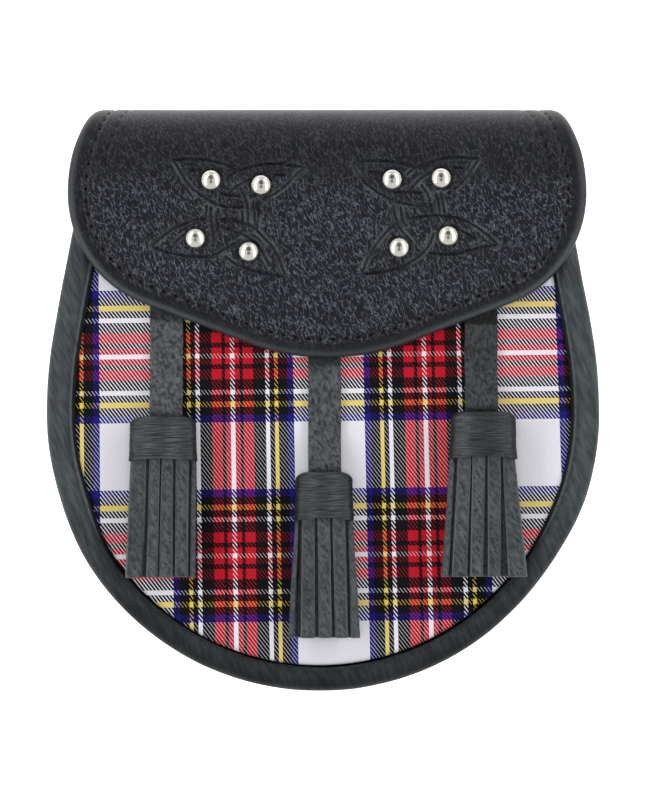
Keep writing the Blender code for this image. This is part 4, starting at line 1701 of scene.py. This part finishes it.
@dataclass
class Stud:
    """One domed stud, riveted through the flap.

    Attributes:
        node: The CAD node that it replaces.
        sides: How many facets go round it.
        rim: The height of its rim below the dome.
        slope: How steep the dome's bright cap is at its edge, in degrees.
        flank: How far the steep flank stands out below the cap.
        lean: How far down the picture the flank is pushed, as if the stud leans a little.
        inset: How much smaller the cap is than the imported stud, all round.
    """

    node: str
    sides: int = 40
    rim: float = 0.9 * MM
    slope: float = 45.0
    flank: float = 0.50 * MM
    lean: float = 0.30 * MM
    inset: float = 0.19 * MM

    def build(self) -> None:
        """Turn the dome's profile about its axis."""
        low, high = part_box(self.node)
        radius = (high[0] - low[0]) / 2
        height = high[2] - low[2]
        cap = radius - self.inset
        ball = cap / math.sin(math.radians(self.slope))
        profile = [
            (ball * math.sin(a), height - ball * (1 - math.cos(a)))
            for a in np.linspace(0, math.radians(self.slope), 14)
        ]
        drop = profile[-1][1]
        profile += [
            (cap + self.flank * share, drop * (1 - share) - 0.5 * self.rim * share)
            for share in (0.25, 0.5, 0.75, 1.0)
        ]
        profile += [(cap + self.flank, -self.rim), (0.0, -self.rim)]
        bm = bmesh.new()
        verts = [bm.verts.new((x, 0.0, z)) for x, z in profile]
        edges = [bm.edges.new(pair) for pair in zip(verts, verts[1:])]
        bmesh.ops.spin(
            bm,
            geom=verts + edges,
            cent=(0.0, 0.0, 0.0),
            axis=(0.0, 0.0, 1.0),
            angle=2 * math.pi,
            steps=self.sides,
            use_merge=True,
        )
        bmesh.ops.remove_doubles(bm, verts=bm.verts, dist=1e-6)
        bmesh.ops.recalc_face_normals(bm, faces=bm.faces)
        for vert in bm.verts:
            vert.co.y -= self.lean * (height - vert.co.z) / height
        place = Vector(((low[0] + high[0]) / 2, (low[1] + high[1]) / 2, low[2]))
        bmesh.ops.translate(bm, verts=bm.verts, vec=place)
        mesh = finish_mesh(bm, self.node, sharp=22.0)
        new_piece(f"{self.node}_dome", mesh, Nickel(), [self.node])


class StripEdges(NamedTuple):
    """One front strip of a tassel, by its sides in the photograph, in pixels across.

    Attributes:
        root_left: Its left side at the band.
        root_right: Its right side there.
        end_left: Its left side at its cut end.
        end_right: Its right side there.
    """

    root_left: float
    root_right: float
    end_left: float
    end_right: float


@dataclass
class Tassel:
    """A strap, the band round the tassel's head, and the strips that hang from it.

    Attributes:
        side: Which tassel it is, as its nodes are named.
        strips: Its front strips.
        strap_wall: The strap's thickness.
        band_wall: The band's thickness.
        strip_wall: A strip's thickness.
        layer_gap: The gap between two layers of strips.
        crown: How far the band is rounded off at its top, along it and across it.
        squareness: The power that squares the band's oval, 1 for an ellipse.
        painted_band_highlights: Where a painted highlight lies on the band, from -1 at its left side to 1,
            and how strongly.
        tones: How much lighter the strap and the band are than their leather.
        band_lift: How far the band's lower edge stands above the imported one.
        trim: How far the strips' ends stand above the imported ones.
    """

    side: str
    strips: Sequence[StripEdges]
    painted_band_highlights: Points
    tones: Pair
    strap_wall: float = 1.8 * MM
    band_wall: float = 1.5 * MM
    strip_wall: float = 2.1 * MM
    layer_gap: float = 0.35 * MM
    crown: Pair = (2.7 * MM, 4.6 * MM)
    squareness: float = 0.62
    band_lift: float = 0.6 * MM
    trim: float = 0.4 * MM

    def __post_init__(self) -> None:
        """Read the tassel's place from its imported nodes."""
        self.band_low, self.band_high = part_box(f"tassel_band_{self.side}")
        self.skirt_low, self.skirt_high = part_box(f"tassel_{self.side}")
        self.strap_low, self.strap_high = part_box(f"tassel_strap_{self.side}")
        self.middle_z = (self.band_low[2] + self.band_high[2]) / 2
        self.middle_x = (self.band_low[0] + self.band_high[0]) / 2

    def build_strap(self) -> None:
        """Make the strap, which lies on the front, rises to the head and ends in it."""
        low, high = self.strap_low, self.strap_high
        flat_z = low[2] + self.strap_wall / 2
        rise_from = self.band_high[1] + self.band_wall + 14.0 * MM
        rise_to = self.band_high[1] + self.band_wall
        ys = np.linspace(high[1], low[1], 90)
        width = high[0] - low[0]
        xs = np.linspace(-0.5, 0.5, 13)
        places = np.empty((len(ys), len(xs), 3))
        for i, y in enumerate(ys):
            share = min(max((rise_from - y) / (rise_from - rise_to), 0.0), 1.0)
            z = flat_z + (self.middle_z - flat_z) * (1 - math.cos(share * math.pi)) / 2
            for j, x in enumerate(xs):
                place_x = (low[0] + high[0]) / 2 + x * (width + 0.25 * MM * uneven(0.0, y, x, 8 * MM))
                lift = 0.10 * MM * uneven(place_x, y, 0.0, 6 * MM)
                places[i, j] = (place_x, y, z + lift)
        # Painted shadow on the strap: darker just above the band, where it goes into the band, and just
        # below the flap's edge, where the flap shades it.
        above = (ys - self.band_high[1]) / (1.6 * MM)
        flap = Flap()
        middle = (low[0] + high[0]) / 2 - flap.shift
        edge = flap.folded(np.array([[middle, float(flap.low_edge(np.array([middle]))[0]), 0.0]]))[0][1]
        below = (edge - ys - 2.0 * MM) / (1.2 * MM)
        above, below = (bell(np.maximum(away, 0.0), 0.0, 1.0) for away in (above, below))
        dark = 0.75 * above + 0.88 * below
        tone_and_painted_light = np.repeat(np.maximum(self.tones[0] - dark, -0.88)[:, None], len(xs), axis=1)
        bm = bmesh.new()
        skin(bm, places, marks={"tone_and_painted_light": tone_and_painted_light})
        name = f"tassel_strap_{self.side}"
        piece = new_piece(f"{name}_leather", finish_mesh(bm, name), STRAP_LEATHER, [name])
        add_wall(piece, self.strap_wall, 0.35 * MM)

    def ring(self, y: float, half_width: float, half_depth: float) -> Array:
        """A squarish oval round the tassel's middle, lying across Y.

        Args:
            y: Where it is along the tassel.
            half_width: Half its width.
            half_depth: Half its depth.

        Returns:
            Rows of x, y and z.
        """
        points = []
        for angle in np.linspace(0, 2 * math.pi, 361):
            c, s = math.cos(angle), math.sin(angle)
            x = half_width * math.copysign(abs(c) ** self.squareness, c)
            z = half_depth * math.copysign(abs(s) ** self.squareness, s)
            points.append((self.middle_x + x, y, self.middle_z + z))
        points = np.array(points)
        steps = np.linalg.norm(np.diff(points, axis=0), axis=1)
        along = np.concatenate([[0.0], np.cumsum(steps)])
        even = np.linspace(0, along[-1], 120, endpoint=False)
        return np.column_stack([np.interp(even, along, points[:, k]) for k in range(3)])

    def build_band(self) -> None:
        """Make the band: creased leather wrapped round the head and drawn in at its top."""
        low, high = self.band_low, self.band_high
        half_width = (high[0] - low[0]) / 2
        half_depth = (high[2] - low[2]) / 2
        neck = self.strap_wall / 2 + 1.2 * MM + self.band_wall
        crown_y, crown_x = self.crown
        top_y = high[1] + 0.3 * MM
        low_y = low[1] + self.band_lift
        rows = []
        for angle in np.linspace(0, math.pi / 2, 12):
            y = top_y - crown_y * (1 - math.cos(angle))
            inwards = 1 - math.sin(angle)
            width = half_width - 0.35 * MM - crown_x * inwards
            rows.append(self.ring(y, width, half_depth - (half_depth - neck) * inwards))
        for share in np.linspace(0, 1, 52)[1:]:
            y = top_y - crown_y - share * (top_y - crown_y - low_y)
            rows.append(self.ring(y, half_width - 0.35 * MM + 0.55 * MM * share**2, half_depth - 0.1 * MM))
        places = np.stack(rows)
        middle = np.array([self.middle_x, 0.0, self.middle_z])
        for i, row in enumerate(places):
            share = i / (len(places) - 1)
            for spot in row:
                wander = 0.9 * MM * uneven(spot[0], spot[1] / 2, spot[2], 5 * MM)
                wrinkle = uneven(spot[0] / 7, spot[1] + wander, spot[2] / 7, 0.75 * MM)
                crease = 0.06 * (1 - 2 * abs(wrinkle)) + 0.22 * uneven(spot[0] / 2, spot[1], spot[2], 5 * MM)
                out = (spot - middle) * (1, 0, 1)
                spot += out / max(np.linalg.norm(out), 1e-9) * crease * MM
                spot[1] -= 1.0 * MM * share * ((spot[0] - self.middle_x) / half_width) ** 2
        aside = np.clip((places[..., 0] - self.middle_x) / half_width, -1.0, 1.0)
        # Painted shade towards the band's sides, and painted highlights where it would shine.
        tone_and_painted_light = self.tones[1] - 0.25 - 0.60 * np.abs(aside) ** 4
        for where, strength in self.painted_band_highlights:
            tone_and_painted_light = tone_and_painted_light + strength * bell(aside, where, 0.24)
        bm = bmesh.new()
        skin(bm, places, closed=True, marks={"tone_and_painted_light": tone_and_painted_light})
        name = f"tassel_band_{self.side}"
        piece = new_piece(f"{name}_wrap", finish_mesh(bm, name), BAND_LEATHER, [name])
        thick = piece.modifiers.new("Wall", "SOLIDIFY")
        thick.thickness = self.band_wall
        thick.offset = -1.0
        soften_edges(piece, 0.3 * MM, 60)

    def add_strip(
        self,
        bm: BMesh,
        root: Array,
        end: Array,
        halves: Pair,
        seed: float,
        tone_and_painted_light: float,
    ) -> None:
        """Add one strip, from its root to its cut end.

        Args:
            bm: The skirt's bmesh.
            root: The middle of its root.
            end: The middle of its cut end.
            halves: Half its width at the root and at the end.
            seed: A number that makes its small bends its own.
            tone_and_painted_light: How much lighter it is than the others: its own lightness, or painted
                shade for a layer underneath.
        """
        half_wall = self.strip_wall / 2
        angles = np.linspace(0, 2 * math.pi, 28, endpoint=False)
        across = np.copysign(np.abs(np.cos(angles)) ** 0.55, np.cos(angles))
        depth = np.copysign(np.abs(np.sin(angles)) ** 0.55, np.sin(angles)) * (1.0 - 0.35 * across**2)
        shares = np.concatenate([np.linspace(0, 0.985, 30), [0.992, 0.997, 1.0]])
        rows = []
        cuts = []
        for share in shares:
            middle = root + (end - root) * share
            half = halves[0] + (halves[1] - halves[0]) * share
            sway = 0.22 * MM * share * uneven(seed, share * 2.6, 0.0, 1.0)
            lift = 0.30 * MM * share * uneven(seed, share * 2.0, 5.0, 1.0)
            turn = (0.10 + 0.30 * share) * 1.6 * uneven(seed, share * 1.2, 9.0, 1.0)
            trimmed = 1.0 - 0.12 * max(share - 0.99, 0.0) / 0.01
            x = across * half * trimmed
            z = depth * half_wall * trimmed
            rows.append(
                np.column_stack(
                    [
                        middle[0] + sway + x * math.cos(turn) - z * math.sin(turn),
                        np.full(len(x), middle[1]),
                        middle[2] + lift + x * math.sin(turn) + z * math.cos(turn),
                    ]
                )
            )
            cuts.append(np.clip((np.abs(across) - 0.84) / 0.08, 0.0, 1.0) * 0.8 + (share > 0.995) * 0.6)
        places = np.stack(rows)
        # Painted shade: each strip darker towards its sides, as a rounded strip is.
        tones = np.full(places.shape[:2], tone_and_painted_light + 0.22) - 0.5 * across[None] ** 2
        skin(bm, places, True, True, {"cut": np.minimum(np.stack(cuts), 1.0), "tone_and_painted_light": tones})

    def build_strips(self) -> None:
        """Make the strips in three layers, and the head that the band holds them round."""
        low, high = self.skirt_low, self.skirt_high
        root_y = self.band_low[1] + self.band_lift + 2.0 * MM
        pitch = self.strip_wall + self.layer_gap
        end_z = (low[2] + high[2]) / 2
        inner_width = (self.band_high[0] - self.band_low[0]) / 2 - self.band_wall - 0.4 * MM
        inner_depth = (self.band_high[2] - self.band_low[2]) / 2 - self.band_wall - 0.2 * MM
        edges = np.array(self.strips)
        front = (edges - PHOTO_CENTRE[0]) * scale_at(high[2])
        under = (front[:-1] + front[1:]) / 2
        bm = bmesh.new()
        for strips, level in ((front, 1), (under, 0), (front[1:-1], -1)):
            for i, (left, right, end_left, end_right) in enumerate(strips):
                seed = 7.3 * i + 31.7 * level + 3.1 * self.middle_x / MM
                trim = self.trim + 0.35 * MM * uneven(seed, 1.0, 1.0, 1.0)
                # Each front strip takes a lightness of its own; the layer underneath is painted dark, as
                # painted shade between the front strips.
                tone_and_painted_light = 0.35 * uneven(seed, 4.0, 2.0, 1.0) if level else -0.5
                aside = min(abs((left + right) / 2 - self.middle_x) / inner_width, 0.98)
                room = inner_depth * (1 - aside ** (2 / self.squareness)) ** (self.squareness / 2)
                root_rise = level * max(min(pitch, room - 0.42 * self.strip_wall), 0.0)
                root = np.array([(left + right) / 2, root_y, self.middle_z + root_rise])
                end = np.array([(end_left + end_right) / 2, low[1] + trim, end_z + level * pitch])
                halves = ((right - left) / 2, (end_right - end_left) / 2)
                self.add_strip(bm, root, end, halves, seed, tone_and_painted_light)
        rows = [self.ring(y, inner_width, inner_depth) for y in np.linspace(root_y - 1.5 * MM, high[1], 6)]
        head = np.stack(rows)
        none = np.zeros(head.shape[:2])
        # The head inside the band is painted dark: painted shade.
        skin(bm, head, True, True, {"cut": none, "tone_and_painted_light": none - 0.5})
        name = f"tassel_{self.side}"
        mesh = finish_mesh(bm, name)
        new_piece(f"{name}_strips", mesh, STRIP_LEATHER, [name])

    def build(self) -> None:
        """Make the strap, the band and the strips."""
        self.build_strap()
        self.build_band()
        self.build_strips()


TASSELS = (
    Tassel(
        "left",
        (
            StripEdges(130.6, 146.6, 124.6, 143.0),
            StripEdges(149.3, 160.2, 145.8, 157.4),
            StripEdges(161.6, 173.2, 158.8, 172.3),
            StripEdges(175.6, 188.8, 174.5, 187.8),
            StripEdges(190.2, 196.4, 190.2, 195.4),
        ),
        ((-0.45, 0.45), (0.32, 0.65)),
        (0.22, 0.12),
        band_lift=1.9 * MM,
        trim=1.4 * MM,
    ),
    Tassel(
        "centre",
        (
            StripEdges(295.6, 300.0, 288.4, 293.7),
            StripEdges(302.2, 314.7, 300.2, 315.1),
            StripEdges(317.2, 330.0, 318.8, 332.0),
            StripEdges(332.2, 344.9, 335.2, 348.3),
            StripEdges(346.8, 352.4, 351.2, 360.6),
        ),
        ((-0.40, 0.50), (0.40, 0.45)),
        (0.20, 0.04),
        band_lift=0.5 * MM,
        trim=-0.4 * MM,
    ),
    Tassel(
        "right",
        (
            StripEdges(450.8, 456.4, 441.4, 448.7),
            StripEdges(458.4, 471.6, 451.7, 467.3),
            StripEdges(472.6, 485.8, 470.2, 483.4),
            StripEdges(487.6, 500.8, 487.9, 501.4),
            StripEdges(502.2, 514.4, 508.4, 527.8),
        ),
        ((-0.60, 0.85), (0.60, 0.40)),
        (-0.36, -0.12),
        band_lift=1.0 * MM,
        trim=-0.2 * MM,
    ),
)


@dataclass
class StrapLoop:
    """One leather loop on the back.

    Attributes:
        side: Which loop it is, as its node is named.
        wall: The leather's thickness.
        span: The length of its bridge.
        ramp: The length of each ramp to a foot.
        foot: The length of each foot.
        count: How many stitches hold each foot.
    """

    side: str
    wall: float = 1.7 * MM
    span: float = 25.0 * MM
    ramp: float = 4.2 * MM
    foot: float = 8.0 * MM
    count: int = 5

    def build(self) -> None:
        """Bend a strip of leather into the loop, and sew its feet down."""
        name = f"strap_loop_{self.side}"
        low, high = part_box(name)
        bridge_z = low[2] + self.wall / 2
        foot_z = high[2] - self.wall / 2
        middle_y = (low[1] + high[1]) / 2
        corners = np.array(
            [
                (middle_y - self.span / 2 - self.ramp - self.foot, foot_z),
                (middle_y - self.span / 2 - self.ramp, foot_z),
                (middle_y - self.span / 2, bridge_z),
                (middle_y + self.span / 2, bridge_z),
                (middle_y + self.span / 2 + self.ramp, foot_z),
                (middle_y + self.span / 2 + self.ramp + self.foot, foot_z),
            ]
        )
        path = smooth_corners(corners, 1.0 * MM)
        xs = np.linspace(low[0], high[0], 9)
        places = np.array([[(x, y, z) for x in xs] for y, z in path])
        bm = bmesh.new()
        skin(bm, places)
        piece = new_piece(f"{name}_leather", finish_mesh(bm, name), BACK_LEATHER, [name])
        add_wall(piece, self.wall, 0.35 * MM)
        self.build_stitches(name, low, high, middle_y)

    def build_stitches(
        self, name: str, low: Sequence[float], high: Sequence[float], middle_y: float
    ) -> None:
        """Sew each foot down with a row of stitches.

        Args:
            name: The loop's node.
            low: The lowest corner of its box.
            high: The highest corner of its box.
            middle_y: The middle of the loop.
        """
        bm = bmesh.new()
        reach = self.span / 2 + self.ramp + self.foot / 2
        spacing = (high[0] - low[0] - 3 * MM) / self.count
        for y in (middle_y - reach, middle_y + reach):
            for i in range(self.count):
                x = (low[0] + high[0]) / 2 + (i - (self.count - 1) / 2) * spacing
                made = bmesh.ops.create_uvsphere(bm, u_segments=8, v_segments=6, radius=1.0)["verts"]
                for vert in made:
                    vert.co = (
                        x + vert.co.x * 0.40 * spacing,
                        y + vert.co.y * 0.34 * MM,
                        high[2] - self.wall - 0.05 * MM + vert.co.z * 0.25 * MM,
                    )
        new_piece(f"{name}_stitches", finish_mesh(bm, f"{name}_stitches"), Thread())


@dataclass
class Studio:
    """A pale floor under soft light, and the camera straight above.

    Attributes:
        camera_height: The camera's height above the pouch's front border.
        frame_height: How much of the front border's plane the picture takes in, top to bottom.
        sensor: The camera's sensor, along the picture's longer side, in mm.
        room: The brightness of the room all round.
        overhead: The power of the wide soft light above the camera, in watts.
        softbox_place: Where the right softbox stands. The left one mirrors it.
        softbox_size: A softbox's width and height.
        softboxes: The power of the left and the right one, in watts.
        gaps: Each dark gap overhead: how far it is from straight up, and half its width, in degrees.
    """

    camera_height: float = CAMERA_HEIGHT
    frame_height: float = PHOTO_HEIGHT * PHOTO_SCALE
    sensor: float = 36.0
    room: float = 0.62
    overhead: float = 6.0
    softbox_place: Triple = (0.712, 0.15, 0.598)
    softbox_size: Pair = (1.8, 0.20)
    softboxes: Pair = (4.6, 3.8)
    gaps: tuple[Pair, ...] = ((19.5, 22.0), (-20.0, 13.0))

    def build(self, reference_z: float) -> None:
        """Set up the floor, the lights, the surroundings and the camera.

        Args:
            reference_z: The height at which the picture's scale is exact.
        """
        bpy.ops.mesh.primitive_plane_add(size=6.0)
        floor = bpy.context.object
        floor.name = "floor"
        paint = {
            "Base Color": linear("f7f7f7"),
            "Roughness": 0.9,
            "Emission Color": linear("ffffff"),
            "Emission Strength": 0.8,
        }
        floor.data.materials.append(new_material("pale floor", paint)[0])
        camera = bpy.data.objects.new("camera", bpy.data.cameras.new("camera"))
        bpy.context.scene.collection.objects.link(camera)
        camera.location = (0.0, 0.0, reference_z + self.camera_height)
        camera.data.sensor_width = self.sensor
        camera.data.lens = self.sensor * self.camera_height / self.frame_height
        camera.data.clip_end = 20.0
        bpy.context.scene.camera = camera
        x, y, z = self.softbox_place
        for side, sign, power in zip(("left", "right"), (-1, 1), self.softboxes):
            self.add_light(f"{side} softbox", (sign * x, y, z), self.softbox_size, power)
        above = self.add_light("overhead light", (0.0, 0.0, 1.5), (0.7, 0.7), self.overhead)
        above.visible_glossy = False
        self.surround()
        bpy.context.scene.view_settings.view_transform = "Standard"

    def add_light(
        self, name: str, place: Triple, size: Pair, power: float
    ) -> bpy.types.Object:
        """Add a soft box that faces the pouch.

        Args:
            name: The light's name.
            place: Where it stands.
            size: Its width and height.
            power: Its power, in watts.

        Returns:
            The light's object.
        """
        light = bpy.data.lights.new(name, "AREA")
        light.shape = "RECTANGLE"
        light.size, light.size_y = size
        light.energy = power
        lamp = bpy.data.objects.new(name, light)
        lamp.location = place
        lamp.rotation_euler = (-Vector(place)).to_track_quat("-Z", "Y").to_euler()
        bpy.context.scene.collection.objects.link(lamp)
        return lamp

    def surround(self) -> None:
        """Light the room evenly, apart from two dark gaps overhead: the camera and its boom."""
        world = bpy.data.worlds.new("studio")
        world.use_nodes = True
        tree = world.node_tree
        way = add_node(tree, "TexCoord", output="Generated")
        strength = None
        for tilt, half_angle in self.gaps:
            middle = (0.0, math.sin(math.radians(tilt)), math.cos(math.radians(tilt)))
            facing = add_node(tree, "VectorMath", (way, middle), "Value", operation="DOT_PRODUCT")
            edges = [math.cos(math.radians(half_angle + soft)) for soft in (1.5, -1.5)]
            inputs = dict(zip(("From Min", "From Max", "To Min", "To Max"), (*edges, self.room, 0.05)))
            gap = add_node(tree, "MapRange", {"Value": facing, **inputs})
            if strength is not None:
                gap = add_node(tree, "Math", (strength, gap), operation="MINIMUM")
            strength = gap
        background = tree.nodes["Background"]
        background.inputs["Color"].default_value = linear("fbfbfd")
        tree.links.new(strength, background.inputs["Strength"])
        bpy.context.scene.world = world


def main() -> None:
    """Build every sub-assembly, in order."""
    logging.basicConfig(level=logging.INFO, format="%(message)s")
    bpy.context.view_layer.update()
    pouch = Pouch()
    pouch.build()
    Flap().build()
    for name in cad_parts:
        if name.startswith("stud_"):
            Stud(name).build()
    for tassel in TASSELS:
        tassel.build()
    for side in ("left", "right"):
        StrapLoop(side).build()
    dress_node("press_stud", Nickel())
    Studio().build(pouch.front_z)


if __name__ == "__main__":
    main()
